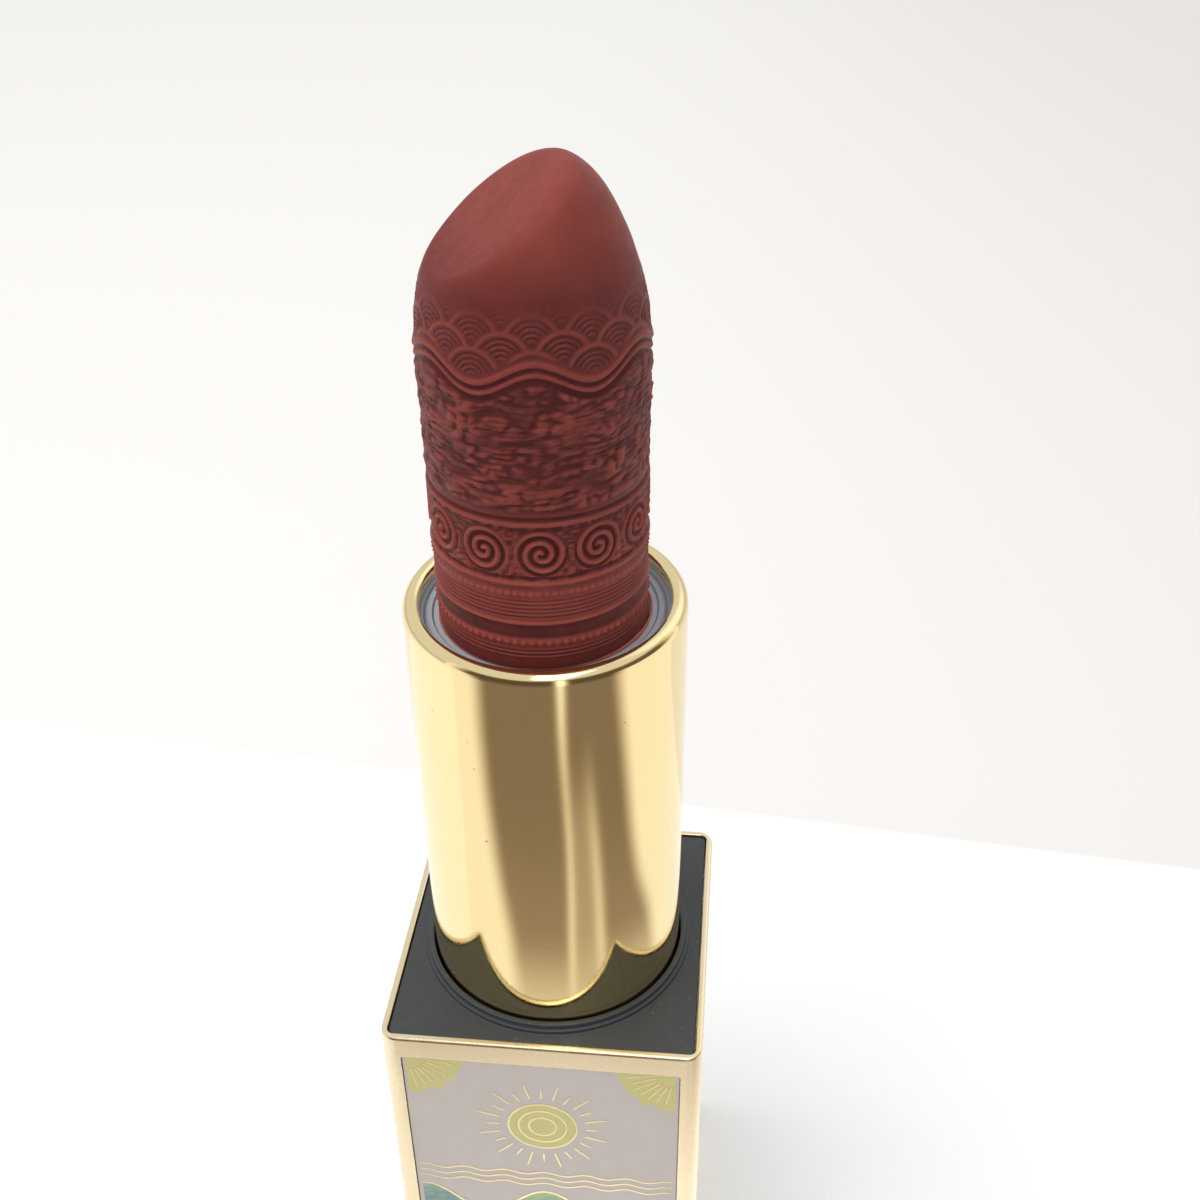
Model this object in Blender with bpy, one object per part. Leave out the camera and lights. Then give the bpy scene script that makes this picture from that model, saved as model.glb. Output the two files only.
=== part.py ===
"""A square twist-up lipstick case, open and fully extended, with its cap off.

Units are metres and +Z is up. The origin is the middle of the base's underside. The case stands
on its base, the sleeve and the bullet rise from the square shoulder along the Z axis, and the
front panel faces -Y.

Turning the sleeve clockwise, as seen from above, makes its two helical grooves push down on the
lugs of the bullet cup. The lugs also run in two straight slots of the fixed inner body, so the cup
cannot turn and can only slide down along Z.
"""

from math import cos, pi, radians, sin

import bmesh
import bpy
from mathutils import Matrix, Vector

MM = 0.001

# Square base
BASE_SIDE = 20.75 * MM
BASE_HEIGHT = 32.0 * MM
BASE_CORNER_RADIUS = 1.1 * MM
BASE_INNER_HALF = 9.2 * MM
EDGE_CHAMFER = 0.15 * MM
FRAME_WALL = 0.45 * MM
FRAME_CORNER_RADIUS = 0.4 * MM

# Black shoulder plate, set just below the edge of the gold frame
PLATE_SIDE = 19.7 * MM
PLATE_TOP = 31.85 * MM
PLATE_THICKNESS = 1.2 * MM
PLATE_SEAT_GAP = 0.3 * MM
PLATE_BORE_GAP = 0.12 * MM
COLLAR_RADIUS = 9.09 * MM
COLLAR_STEP_RADIUS = 8.86 * MM
COLLAR_STEP_HEIGHT = 0.3 * MM
COLLAR_HEIGHT = 0.6 * MM

# Printed panels, one let into each side of the base
PANEL_WIDTH = 18.06 * MM
PANEL_HEIGHT = 28.6 * MM
PANEL_CENTRE_Z = 15.95 * MM
PANEL_CORNER_RADIUS = 0.18 * MM
PANEL_THICKNESS = 0.5 * MM
PANEL_SUNK = 0.08 * MM
PANEL_RECESS_DEPTH = 0.7 * MM
PANEL_GAP = 0.12 * MM
PANEL_CHAMFER = 0.06 * MM
PANEL_SIDES = {"front": 0.0, "right": pi / 2, "back": pi, "left": -pi / 2}

# Moulded insert that fills the base and carries the mechanism
INSERT_HALF = 9.08 * MM
INSERT_CORNER_RADIUS = 0.5 * MM
INSERT_BOTTOM = 1.9 * MM
INSERT_TOP = 30.3 * MM
SLEEVE_BORE_RADIUS = 8.62 * MM
FLANGE_SEAT = 16.4 * MM
SPIGOT_BORE_RADIUS = 7.5 * MM
SPIGOT_BORE_FLOOR = 12.2 * MM
CORING_RADIUS = 1.2 * MM
CORING_CIRCLE = 10.54 * MM
CORING_FLOOR = 4.0 * MM
KEY_HEIGHT = 2.0 * MM
KEY_WIDTH = 1.6 * MM
KEY_REACH = 8.2 * MM
KEY_GAP = 0.15 * MM

# Steel weight in the foot of the insert, with the plate and the label that close the base
WEIGHT_HALF = 6.6 * MM
WEIGHT_CORNER_RADIUS = 1.0 * MM
WEIGHT_BOTTOM = 2.0 * MM
WEIGHT_TOP = 10.2 * MM
WEIGHT_POCKET_HALF = 6.75 * MM
WEIGHT_POCKET_TOP = 10.5 * MM
BOTTOM_PLATE_HALF = 9.05 * MM
BOTTOM_PLATE_LOW = 0.35 * MM
BOTTOM_PLATE_HIGH = 1.6 * MM
LABEL_RADIUS = 7.0 * MM
LABEL_LOW = 0.15 * MM
LABEL_HIGH = 0.27 * MM

# Gold sleeve
RIM_HEIGHT = 60.05 * MM
SLEEVE_RADIUS = 8.37 * MM
SLEEVE_WALL = 0.4 * MM
SLEEVE_FOOT = 19.9 * MM
RIM_BORE_RADIUS = 7.38 * MM
RIM_LIP_DEPTH = 0.8 * MM
RIM_ROUNDING = 0.34 * MM

# Cam sleeve, fixed inside the gold sleeve
CAM_OUTER_RADIUS = 7.87 * MM
CAM_BORE_RADIUS = 7.2 * MM
CAM_FOOT = 19.6 * MM
CAM_TOP = 59.1 * MM
GROOVE_FLOOR_RADIUS = 7.64 * MM
GROOVE_HEIGHT = 2.3 * MM

# Drag ring under the cam sleeve
DRAG_RING_RADIUS = 7.62 * MM
DRAG_RING_WIRE = 0.4 * MM
DRAG_RING_Z = 18.9 * MM

# Slotted inner body, fixed in the insert
BODY_OUTER_RADIUS = 7.06 * MM
BODY_BORE_RADIUS = 6.68 * MM
BODY_TOP = 59.1 * MM
BODY_TOP_CHAMFER = 0.1 * MM
FLANGE_RADIUS = 8.5 * MM
FLANGE_LOW = 16.55 * MM
FLANGE_HIGH = 18.4 * MM
SPIGOT_RADIUS = 7.35 * MM
SPIGOT_LOW = 12.4 * MM
BODY_FLOOR = 14.2 * MM
SLOT_WIDTH = 2.2 * MM
SLOT_END_GAP = 0.4 * MM

# Bullet cup with its two lugs
CUP_OUTER_RADIUS = 6.56 * MM
CUP_BORE_RADIUS = 6.16 * MM
CUP_BOTTOM = 49.5 * MM
CUP_TOP = 59.0 * MM
CUP_FLOOR_THICKNESS = 0.9 * MM
CUP_RIB_REACH = 5.8 * MM
CUP_RIB_WIDTH = 0.5 * MM
CUP_RIB_TOP = 57.2 * MM
CUP_RIBS = 6
LUG_Z = 51.0 * MM
LUG_RADIUS = 0.9 * MM
LUG_REACH = 7.5 * MM

# Lipstick bullet: a domed top with one slanted cut
BULLET_RADIUS = 6.06 * MM
BULLET_FOOT_RADIUS = 5.6 * MM
BULLET_FOOT_LOW = 50.7 * MM
BULLET_FOOT_TOP = 58.0 * MM
BULLET_FOOT_TAPER = 0.4 * MM
BULLET_DOME_START = RIM_HEIGHT + 14.6 * MM
BULLET_DOME_HEIGHT = 11.1 * MM
DOME_SIDE_POWER = 3.2
DOME_TOP_POWER = 1 / 1.6
CUT_AXIS_HEIGHT = RIM_HEIGHT + 24.1 * MM
CUT_TILT = radians(38)
CUT_FACING = radians(203)

# Motion: how far the cup travels, and how far the sleeve turns to move it
TRAVEL = 27.1 * MM
TWIST_TURNS = 1.75
PITCH = TRAVEL / TWIST_TURNS

ROUND_SEGMENTS = 48
SMALL_SEGMENTS = 16
HELIX_STEPS_PER_TURN = 40
CORNER_STEPS = 5
SMOOTH_ANGLE = radians(32)
MERGE_DISTANCE = 0.001 * MM

# How far a cutter runs past the face that it cuts through
OVERCUT = 1 * MM


def clear_scene():
    """Start from an empty scene."""
    for obj in list(bpy.data.objects):
        bpy.data.objects.remove(obj)


def make_material(name, colour, roughness, metallic=0.0):
    """One Principled finish."""
    mat = bpy.data.materials.new(name)
    mat.use_nodes = True
    shader = mat.node_tree.nodes["Principled BSDF"]
    shader.inputs["Base Color"].default_value = (*colour, 1.0)
    shader.inputs["Roughness"].default_value = roughness
    shader.inputs["Metallic"].default_value = metallic
    mat.diffuse_color = (*colour, 1.0)
    return mat


def make_axis(name, height):
    """An empty on the Z axis that carries the pieces of one body."""
    axis = bpy.data.objects.new(name, None)
    axis.location = (0, 0, height)
    bpy.context.scene.collection.objects.link(axis)
    return axis


def add_piece(name, bm, parent=None, mat=None, smooth=True):
    """Turn a bmesh built in world coordinates into a named object carried by its parent."""
    bmesh.ops.recalc_face_normals(bm, faces=bm.faces)
    if parent is not None:
        bmesh.ops.translate(bm, vec=-parent.location, verts=bm.verts)
    mesh = bpy.data.meshes.new(name)
    bm.to_mesh(mesh)
    bm.free()
    if smooth:
        mesh.shade_smooth()
        mesh.set_sharp_from_angle(angle=SMOOTH_ANGLE)
    if mat is not None:
        mesh.materials.append(mat)
    piece = bpy.data.objects.new(name, mesh)
    piece.parent = parent
    bpy.context.scene.collection.objects.link(piece)
    return piece


def cut(piece, name, bm):
    """Cut a shape, built in world coordinates, out of a piece."""
    cutter = add_piece(name, bm, parent=piece.parent, smooth=False)
    cutter.hide_render = True
    cutter.display_type = "WIRE"
    boolean = piece.modifiers.new(name, "BOOLEAN")
    boolean.operation = "DIFFERENCE"
    boolean.solver = "EXACT"
    boolean.object = cutter


def unite(piece, name, bm):
    """Add a shape, built in world coordinates, to a piece."""
    blank = add_piece(name, bm, parent=piece.parent, smooth=False)
    blank.hide_render = True
    blank.display_type = "WIRE"
    boolean = piece.modifiers.new(name, "BOOLEAN")
    boolean.operation = "UNION"
    boolean.solver = "EXACT"
    boolean.object = blank


def turned(profile, segments=ROUND_SEGMENTS):
    """Spin a closed profile of (radius, height) points about the Z axis.

    A solid's profile starts and ends on the axis, and needs no edge along it.
    """
    bm = bmesh.new()
    verts = [bm.verts.new((radius, 0, height)) for radius, height in profile]
    edges = [bm.edges.new(pair) for pair in zip(verts, verts[1:])]
    if profile[0][0] > 0:
        edges.append(bm.edges.new((verts[-1], verts[0])))
    bmesh.ops.spin(
        bm,
        geom=verts + edges,
        axis=(0, 0, 1),
        cent=(0, 0, 0),
        angle=2 * pi,
        steps=segments,
        use_merge=True,
    )
    bmesh.ops.remove_doubles(bm, verts=bm.verts, dist=MERGE_DISTANCE)
    return bm


def cylinder(radius, low, high, centre=(0, 0), segments=ROUND_SEGMENTS):
    """A capped upright cylinder between two heights."""
    bm = bmesh.new()
    place = Matrix.Translation((*centre, (low + high) / 2))
    bmesh.ops.create_cone(
        bm,
        cap_ends=True,
        segments=segments,
        radius1=radius,
        radius2=radius,
        depth=high - low,
        matrix=place,
    )
    return bm


def box(size, centre, angle=0.0):
    """A box turned about the Z axis."""
    bm = bmesh.new()
    turn = Matrix.Rotation(angle, 4, "Z")
    place = turn @ Matrix.Translation(centre) @ Matrix.Diagonal((*size, 1))
    bmesh.ops.create_cube(bm, size=1, matrix=place)
    return bm


def rounded_outline(half_width, half_height, radius):
    """Corner-rounded rectangle, counter-clockwise, as (x, y) points."""
    points = []
    for corner in range(4):
        sign_x = 1 if corner in (0, 3) else -1
        sign_y = 1 if corner in (0, 1) else -1
        centre_x = sign_x * (half_width - radius)
        centre_y = sign_y * (half_height - radius)
        for step in range(CORNER_STEPS + 1):
            angle = (corner + step / CORNER_STEPS) * pi / 2
            points.append((centre_x + radius * cos(angle), centre_y + radius * sin(angle)))
    return points


def square_loft(stations, ring=False):
    """Skin rounded squares given as (half side, corner radius, height).

    A solid is capped at its first and last square. A ring goes back to its first square instead,
    which leaves a square hole through the middle.
    """
    bm = bmesh.new()
    loops = []
    for half, radius, height in stations:
        outline = rounded_outline(half, half, radius)
        loops.append([bm.verts.new((x, y, height)) for x, y in outline])
    pairs = list(zip(loops, loops[1:]))
    if ring:
        pairs.append((loops[-1], loops[0]))
    else:
        bm.faces.new(reversed(loops[0]))
        bm.faces.new(loops[-1])
    for lower, upper in pairs:
        for i in range(len(lower)):
            bm.faces.new((lower[i - 1], lower[i], upper[i], upper[i - 1]))
    return bm


def panel_blank(half_width, half_height, radius, face_y, back_y, chamfer=0.0):
    """A rounded plate that stands on the front of the base, with its face towards -Y."""
    bm = bmesh.new()
    layers = [(0.0, back_y), (0.0, face_y + chamfer)]
    if chamfer:
        layers.append((chamfer, face_y))
    loops = []
    for inset, y in layers:
        outline = rounded_outline(half_width - inset, half_height - inset, radius - inset)
        loops.append([bm.verts.new((x, y, PANEL_CENTRE_Z + z)) for x, z in outline])
    bm.faces.new(loops[0])
    bm.faces.new(reversed(loops[-1]))
    for lower, upper in zip(loops, loops[1:]):
        for i in range(len(lower)):
            bm.faces.new((lower[i - 1], upper[i - 1], upper[i], lower[i]))
    return bm


def rounded_rim(outer_radius, bore_radius, top, rounding):
    """Profile points over the rolled top of a tube wall, from the outside to the bore."""
    points = []
    for step in range(4):
        angle = step * pi / 6
        outward = rounding * cos(angle)
        rise = rounding * sin(angle)
        points.append((outer_radius - rounding + outward, top - rounding + rise))
    for step in range(4):
        angle = step * pi / 6
        outward = rounding * sin(angle)
        rise = rounding * cos(angle)
        points.append((bore_radius + rounding - outward, top - rounding + rise))
    return points


def build_base_shell(axis, mat):
    """Square gold casing: a tube with a seat for the shoulder plate and four panel recesses."""
    half = BASE_SIDE / 2
    seat_half = half - FRAME_WALL
    seat_height = PLATE_TOP - PLATE_THICKNESS - PLATE_SEAT_GAP
    stations = [
        (half - EDGE_CHAMFER, BASE_CORNER_RADIUS - EDGE_CHAMFER, 0.0),
        (half, BASE_CORNER_RADIUS, EDGE_CHAMFER),
        (half, BASE_CORNER_RADIUS, BASE_HEIGHT - EDGE_CHAMFER),
        (half - EDGE_CHAMFER, BASE_CORNER_RADIUS - EDGE_CHAMFER, BASE_HEIGHT),
        (seat_half, FRAME_CORNER_RADIUS, BASE_HEIGHT),
        (seat_half, FRAME_CORNER_RADIUS, seat_height),
        (BASE_INNER_HALF, INSERT_CORNER_RADIUS, seat_height),
        (BASE_INNER_HALF, INSERT_CORNER_RADIUS, 0.0),
    ]
    shell = add_piece("base_shell", square_loft(stations, ring=True), axis, mat)
    for side, angle in PANEL_SIDES.items():
        recess = panel_blank(
            PANEL_WIDTH / 2 + PANEL_GAP,
            PANEL_HEIGHT / 2 + PANEL_GAP,
            PANEL_CORNER_RADIUS + PANEL_GAP,
            face_y=-half - OVERCUT,
            back_y=-half + PANEL_RECESS_DEPTH,
        )
        turn = Matrix.Rotation(angle, 3, "Z")
        bmesh.ops.rotate(recess, cent=(0, 0, 0), matrix=turn, verts=recess.verts)
        cut(shell, "recess_" + side, recess)


def build_panels(axis, mat):
    """Four equal printed panels, each turned to its own side of the base."""
    face_y = -BASE_SIDE / 2 + PANEL_SUNK
    blank = panel_blank(
        PANEL_WIDTH / 2,
        PANEL_HEIGHT / 2,
        PANEL_CORNER_RADIUS,
        face_y=face_y,
        back_y=face_y + PANEL_THICKNESS,
        chamfer=PANEL_CHAMFER,
    )
    front = add_piece("panel_front", blank, axis, mat)
    for side, angle in PANEL_SIDES.items():
        if side == "front":
            continue
        panel = bpy.data.objects.new("panel_" + side, front.data)
        panel.parent = axis
        panel.rotation_euler = (0, 0, angle)
        bpy.context.scene.collection.objects.link(panel)


def build_shoulder_plate(axis, mat):
    """Flat black plate round the sleeve, with a low stepped collar at its hole."""
    low = PLATE_TOP - PLATE_THICKNESS
    half = PLATE_SIDE / 2
    stations = [(half, FRAME_CORNER_RADIUS, low), (half, FRAME_CORNER_RADIUS, PLATE_TOP)]
    plate = add_piece("shoulder_plate", square_loft(stations), axis, mat)
    root = PLATE_TOP - PLATE_THICKNESS / 2
    collar_profile = [
        (0, root),
        (COLLAR_RADIUS, root),
        (COLLAR_RADIUS, PLATE_TOP + COLLAR_STEP_HEIGHT),
        (COLLAR_STEP_RADIUS, PLATE_TOP + COLLAR_STEP_HEIGHT),
        (COLLAR_STEP_RADIUS, PLATE_TOP + COLLAR_HEIGHT),
        (0, PLATE_TOP + COLLAR_HEIGHT),
    ]
    unite(plate, "collar", turned(collar_profile))
    bore = cylinder(SLEEVE_RADIUS + PLATE_BORE_GAP, low - OVERCUT, PLATE_TOP + COLLAR_HEIGHT + OVERCUT)
    cut(plate, "plate_bore", bore)


def build_base_insert(axis, mat):
    """Moulded block with the sleeve's bore, a keyed seat for the inner body and the weight's pocket."""
    stations = [
        (INSERT_HALF, INSERT_CORNER_RADIUS, INSERT_BOTTOM),
        (INSERT_HALF, INSERT_CORNER_RADIUS, INSERT_TOP),
    ]
    insert = add_piece("base_insert", square_loft(stations), axis, mat)
    bore_profile = [
        (0, INSERT_TOP + OVERCUT),
        (SLEEVE_BORE_RADIUS, INSERT_TOP + OVERCUT),
        (SLEEVE_BORE_RADIUS, FLANGE_SEAT),
        (SPIGOT_BORE_RADIUS, FLANGE_SEAT),
        (SPIGOT_BORE_RADIUS, SPIGOT_BORE_FLOOR),
        (0, SPIGOT_BORE_FLOOR),
    ]
    cut(insert, "mechanism_bore", turned(bore_profile))
    key_low = FLANGE_SEAT - KEY_HEIGHT - KEY_GAP
    key_high = FLANGE_SEAT + OVERCUT
    key_size = (2 * (KEY_REACH + KEY_GAP), KEY_WIDTH + 2 * KEY_GAP, key_high - key_low)
    cut(insert, "key_seat", box(key_size, (0, 0, (key_low + key_high) / 2)))
    for quarter in range(4):
        angle = (quarter + 0.5) * pi / 2
        centre = (CORING_CIRCLE * cos(angle), CORING_CIRCLE * sin(angle))
        coring = cylinder(CORING_RADIUS, CORING_FLOOR, INSERT_TOP + OVERCUT, centre, SMALL_SEGMENTS)
        cut(insert, "coring_" + str(quarter + 1), coring)
    pocket = [
        (WEIGHT_POCKET_HALF, WEIGHT_CORNER_RADIUS, INSERT_BOTTOM - OVERCUT),
        (WEIGHT_POCKET_HALF, WEIGHT_CORNER_RADIUS, WEIGHT_POCKET_TOP),
    ]
    cut(insert, "weight_pocket", square_loft(pocket))


def build_base_weight(axis, mat):
    """Square steel weight with chamfered edges, in the pocket under the insert."""
    stations = [
        (WEIGHT_HALF - EDGE_CHAMFER, WEIGHT_CORNER_RADIUS, WEIGHT_BOTTOM),
        (WEIGHT_HALF, WEIGHT_CORNER_RADIUS, WEIGHT_BOTTOM + EDGE_CHAMFER),
        (WEIGHT_HALF, WEIGHT_CORNER_RADIUS, WEIGHT_TOP - EDGE_CHAMFER),
        (WEIGHT_HALF - EDGE_CHAMFER, WEIGHT_CORNER_RADIUS, WEIGHT_TOP),
    ]
    add_piece("base_weight", square_loft(stations), axis, mat)


def build_bottom_plate(axis, mat):
    """Plate that closes the base, set a little above the shell's lower edge."""
    stations = [
        (BOTTOM_PLATE_HALF - EDGE_CHAMFER, INSERT_CORNER_RADIUS, BOTTOM_PLATE_LOW),
        (BOTTOM_PLATE_HALF, INSERT_CORNER_RADIUS, BOTTOM_PLATE_LOW + EDGE_CHAMFER),
        (BOTTOM_PLATE_HALF, INSERT_CORNER_RADIUS, BOTTOM_PLATE_HIGH),
    ]
    add_piece("bottom_plate", square_loft(stations), axis, mat)


def build_shade_label(axis, mat):
    """Blank round label under the bottom plate."""
    add_piece("shade_label", cylinder(LABEL_RADIUS, LABEL_LOW, LABEL_HIGH), axis, mat)


def build_inner_body(axis, mat):
    """Fixed tube with a keyed foot, a flange and two straight slots that guide the cup's lugs."""
    profile = [
        (0, SPIGOT_LOW),
        (SPIGOT_RADIUS, SPIGOT_LOW),
        (SPIGOT_RADIUS, FLANGE_LOW),
        (FLANGE_RADIUS, FLANGE_LOW),
        (FLANGE_RADIUS, FLANGE_HIGH),
        (BODY_OUTER_RADIUS, FLANGE_HIGH),
        (BODY_OUTER_RADIUS, BODY_TOP - BODY_TOP_CHAMFER),
        (BODY_OUTER_RADIUS - BODY_TOP_CHAMFER, BODY_TOP),
        (BODY_BORE_RADIUS, BODY_TOP),
        (BODY_BORE_RADIUS, BODY_FLOOR),
        (0, BODY_FLOOR),
    ]
    body = add_piece("inner_body", turned(profile), axis, mat)
    slot_low = LUG_Z - TRAVEL - LUG_RADIUS - SLOT_END_GAP
    slot_high = LUG_Z + LUG_RADIUS + SLOT_END_GAP
    slot_size = (2 * SLEEVE_RADIUS, SLOT_WIDTH, slot_high - slot_low)
    cut(body, "guide_slots", box(slot_size, (0, 0, (slot_low + slot_high) / 2)))
    key_low = FLANGE_SEAT - KEY_HEIGHT
    key_high = (FLANGE_LOW + FLANGE_HIGH) / 2
    key_size = (2 * KEY_REACH, KEY_WIDTH, key_high - key_low)
    unite(body, "foot_keys", box(key_size, (0, 0, (key_low + key_high) / 2)))
    cut(body, "foot_bore", cylinder(BODY_BORE_RADIUS, BODY_FLOOR, FLANGE_HIGH + OVERCUT))


def build_outer_sleeve(axis, mat):
    """Thin gold tube whose top is rolled inwards."""
    bore = SLEEVE_RADIUS - SLEEVE_WALL
    profile = [(SLEEVE_RADIUS, SLEEVE_FOOT)]
    profile += rounded_rim(SLEEVE_RADIUS, RIM_BORE_RADIUS, RIM_HEIGHT, RIM_ROUNDING)
    profile += [
        (RIM_BORE_RADIUS, RIM_HEIGHT - RIM_LIP_DEPTH),
        (bore, RIM_HEIGHT - RIM_LIP_DEPTH),
        (bore, SLEEVE_FOOT),
    ]
    add_piece("outer_sleeve", turned(profile), axis, mat)


def helical_groove(start_angle):
    """Square-sided bar along the path of one lug, which falls by TRAVEL as it winds round.

    Each end runs on level for a lug's width, where the lug rests with the bullet up or down.
    """
    bm = bmesh.new()
    steps = round(TWIST_TURNS * HELIX_STEPS_PER_TURN)
    inner = 2 * CAM_BORE_RADIUS - GROOVE_FLOOR_RADIUS
    end_angle = 2 * LUG_RADIUS / CAM_BORE_RADIUS
    half = GROOVE_HEIGHT / 2
    section = [(inner, -half), (GROOVE_FLOOR_RADIUS, -half), (GROOVE_FLOOR_RADIUS, half), (inner, half)]
    stations = [(-end_angle, 0.0)]
    stations += [(step / steps * TWIST_TURNS * 2 * pi, step / steps * TRAVEL) for step in range(steps + 1)]
    stations += [(TWIST_TURNS * 2 * pi + end_angle, TRAVEL)]
    sections = []
    for turn, drop in stations:
        angle = start_angle + turn
        sections.append([
            bm.verts.new((radius * cos(angle), radius * sin(angle), LUG_Z - drop + offset))
            for radius, offset in section
        ])
    bm.faces.new(sections[0])
    bm.faces.new(reversed(sections[-1]))
    for near, far in zip(sections, sections[1:]):
        for i in range(4):
            bm.faces.new((near[i - 1], near[i], far[i], far[i - 1]))
    return bm


def build_cam_sleeve(axis, mat):
    """Turning tube with two helical grooves in its bore, half a turn apart."""
    profile = [
        (CAM_OUTER_RADIUS, CAM_FOOT),
        (CAM_OUTER_RADIUS, CAM_TOP),
        (CAM_BORE_RADIUS, CAM_TOP),
        (CAM_BORE_RADIUS, CAM_FOOT),
    ]
    cam = add_piece("cam_sleeve", turned(profile), axis, mat)
    cut(cam, "groove_1", helical_groove(0.0))
    cut(cam, "groove_2", helical_groove(pi))


def build_drag_ring(axis, mat):
    """Soft ring between the flange and the cam sleeve, which gives the twist its drag."""
    profile = []
    for step in range(8):
        angle = -step * pi / 4
        profile.append((
            DRAG_RING_RADIUS + DRAG_RING_WIRE * cos(angle),
            DRAG_RING_Z + DRAG_RING_WIRE * sin(angle),
        ))
    add_piece("drag_ring", turned(profile), axis, mat)


def build_bullet_cup(axis, mat):
    """Cup that holds the bullet's foot, with grip ribs inside and a lug on either side."""
    floor = CUP_BOTTOM + CUP_FLOOR_THICKNESS
    profile = [
        (0, CUP_BOTTOM),
        (CUP_OUTER_RADIUS, CUP_BOTTOM),
        (CUP_OUTER_RADIUS, CUP_TOP),
        (CUP_BORE_RADIUS, CUP_TOP),
        (CUP_BORE_RADIUS, floor),
        (0, floor),
    ]
    cup = add_piece("bullet_cup", turned(profile), axis, mat)
    mid_wall = (CUP_OUTER_RADIUS + CUP_BORE_RADIUS) / 2
    mid_floor = CUP_BOTTOM + CUP_FLOOR_THICKNESS / 2
    pieces = []
    for rib in range(CUP_RIBS):
        angle = (rib + 0.5) * 2 * pi / CUP_RIBS
        size = (mid_wall - CUP_RIB_REACH, CUP_RIB_WIDTH, CUP_RIB_TOP - mid_floor)
        centre = ((mid_wall + CUP_RIB_REACH) / 2, 0, (CUP_RIB_TOP + mid_floor) / 2)
        pieces.append(("cup_rib_" + str(rib + 1), box(size, centre, angle)))
    for side, sign in (("right", 1), ("left", -1)):
        lug = cylinder(LUG_RADIUS, mid_wall, LUG_REACH, segments=SMALL_SEGMENTS)
        turn = Matrix.Rotation(sign * pi / 2, 4, "Y")
        bmesh.ops.transform(lug, matrix=Matrix.Translation((0, 0, LUG_Z)) @ turn, verts=lug.verts)
        pieces.append(("lug_" + side, lug))
    for name, bm in pieces:
        unite(cup, name, bm)


def build_bullet(axis, mat):
    """Lipstick bullet: foot in the cup, straight side, domed top and one slanted cut."""
    profile = [
        (0, BULLET_FOOT_LOW),
        (BULLET_FOOT_RADIUS, BULLET_FOOT_LOW),
        (BULLET_FOOT_RADIUS, BULLET_FOOT_TOP),
        (BULLET_RADIUS, BULLET_FOOT_TOP + BULLET_FOOT_TAPER),
        (BULLET_RADIUS, BULLET_DOME_START),
    ]
    dome_steps = 9
    for step in range(1, dome_steps):
        share = cos(step / dome_steps * pi / 2)
        rise = (1 - share ** DOME_SIDE_POWER) ** DOME_TOP_POWER
        profile.append((BULLET_RADIUS * share, BULLET_DOME_START + BULLET_DOME_HEIGHT * rise))
    profile.append((0, BULLET_DOME_START + BULLET_DOME_HEIGHT))
    bullet = add_piece("bullet", turned(profile), axis, mat)
    slab = 30 * MM
    bm = bmesh.new()
    normal = Vector((sin(CUT_TILT) * cos(CUT_FACING), sin(CUT_TILT) * sin(CUT_FACING), cos(CUT_TILT)))
    turn = normal.to_track_quat("Z", "Y").to_matrix().to_4x4()
    centre = Vector((0, 0, CUT_AXIS_HEIGHT)) + normal * slab / 2
    bmesh.ops.create_cube(bm, size=slab, matrix=Matrix.Translation(centre) @ turn)
    cut(bullet, "slanted_cut", bm)


def main():
    clear_scene()
    gold = make_material("satin_gold", (0.80, 0.62, 0.38), 0.28, 1.0)
    mirror = make_material("mirror_gold", (0.87, 0.76, 0.50), 0.08, 1.0)
    black = make_material("black_plastic", (0.03, 0.034, 0.04), 0.5)
    printed = make_material("printed_panel", (0.52, 0.49, 0.50), 0.45)
    frosted = make_material("frosted_plastic", (0.62, 0.62, 0.60), 0.5)
    acetal = make_material("white_acetal", (0.82, 0.82, 0.80), 0.45)
    rubber = make_material("silicone", (0.35, 0.35, 0.36), 0.6)
    red = make_material("lipstick_red", (0.30, 0.065, 0.05), 0.55)
    steel = make_material("zinc_plated_steel", (0.56, 0.57, 0.58), 0.35, 1.0)
    label = make_material("label_film", (0.75, 0.72, 0.68), 0.5)

    base_axis = make_axis("base_axis", 0.0)
    sleeve_axis = make_axis("sleeve_axis", PLATE_TOP)
    carrier_axis = make_axis("carrier_axis", LUG_Z)

    build_base_shell(base_axis, gold)
    build_panels(base_axis, printed)
    build_shoulder_plate(base_axis, black)
    build_base_insert(base_axis, black)
    build_base_weight(base_axis, steel)
    build_bottom_plate(base_axis, black)
    build_shade_label(base_axis, label)
    build_inner_body(base_axis, acetal)
    build_drag_ring(base_axis, rubber)
    build_outer_sleeve(sleeve_axis, mirror)
    build_cam_sleeve(sleeve_axis, frosted)
    build_bullet_cup(carrier_axis, acetal)
    build_bullet(carrier_axis, red)


main()
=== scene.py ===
"""Looks for a square twist-up lipstick case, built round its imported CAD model.

Lengths are in millimetres up to the helper that makes a mesh, which turns them into metres. The case
stands on the floor at the origin with +Z up, and its front panel faces -Y.
"""

from math import acos, atan2, cos, degrees, exp, hypot, pi, radians, sin

import bmesh
import bpy
import numpy as np
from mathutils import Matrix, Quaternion, Vector


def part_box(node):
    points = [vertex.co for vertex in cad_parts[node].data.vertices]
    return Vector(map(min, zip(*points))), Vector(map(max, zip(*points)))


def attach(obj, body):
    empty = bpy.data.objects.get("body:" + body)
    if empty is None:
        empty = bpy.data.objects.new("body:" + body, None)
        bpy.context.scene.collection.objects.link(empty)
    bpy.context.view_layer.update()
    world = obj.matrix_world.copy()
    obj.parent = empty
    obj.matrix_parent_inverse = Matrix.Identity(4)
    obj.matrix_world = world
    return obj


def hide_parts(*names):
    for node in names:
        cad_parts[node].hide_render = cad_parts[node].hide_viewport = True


MM = 0.001

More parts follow.
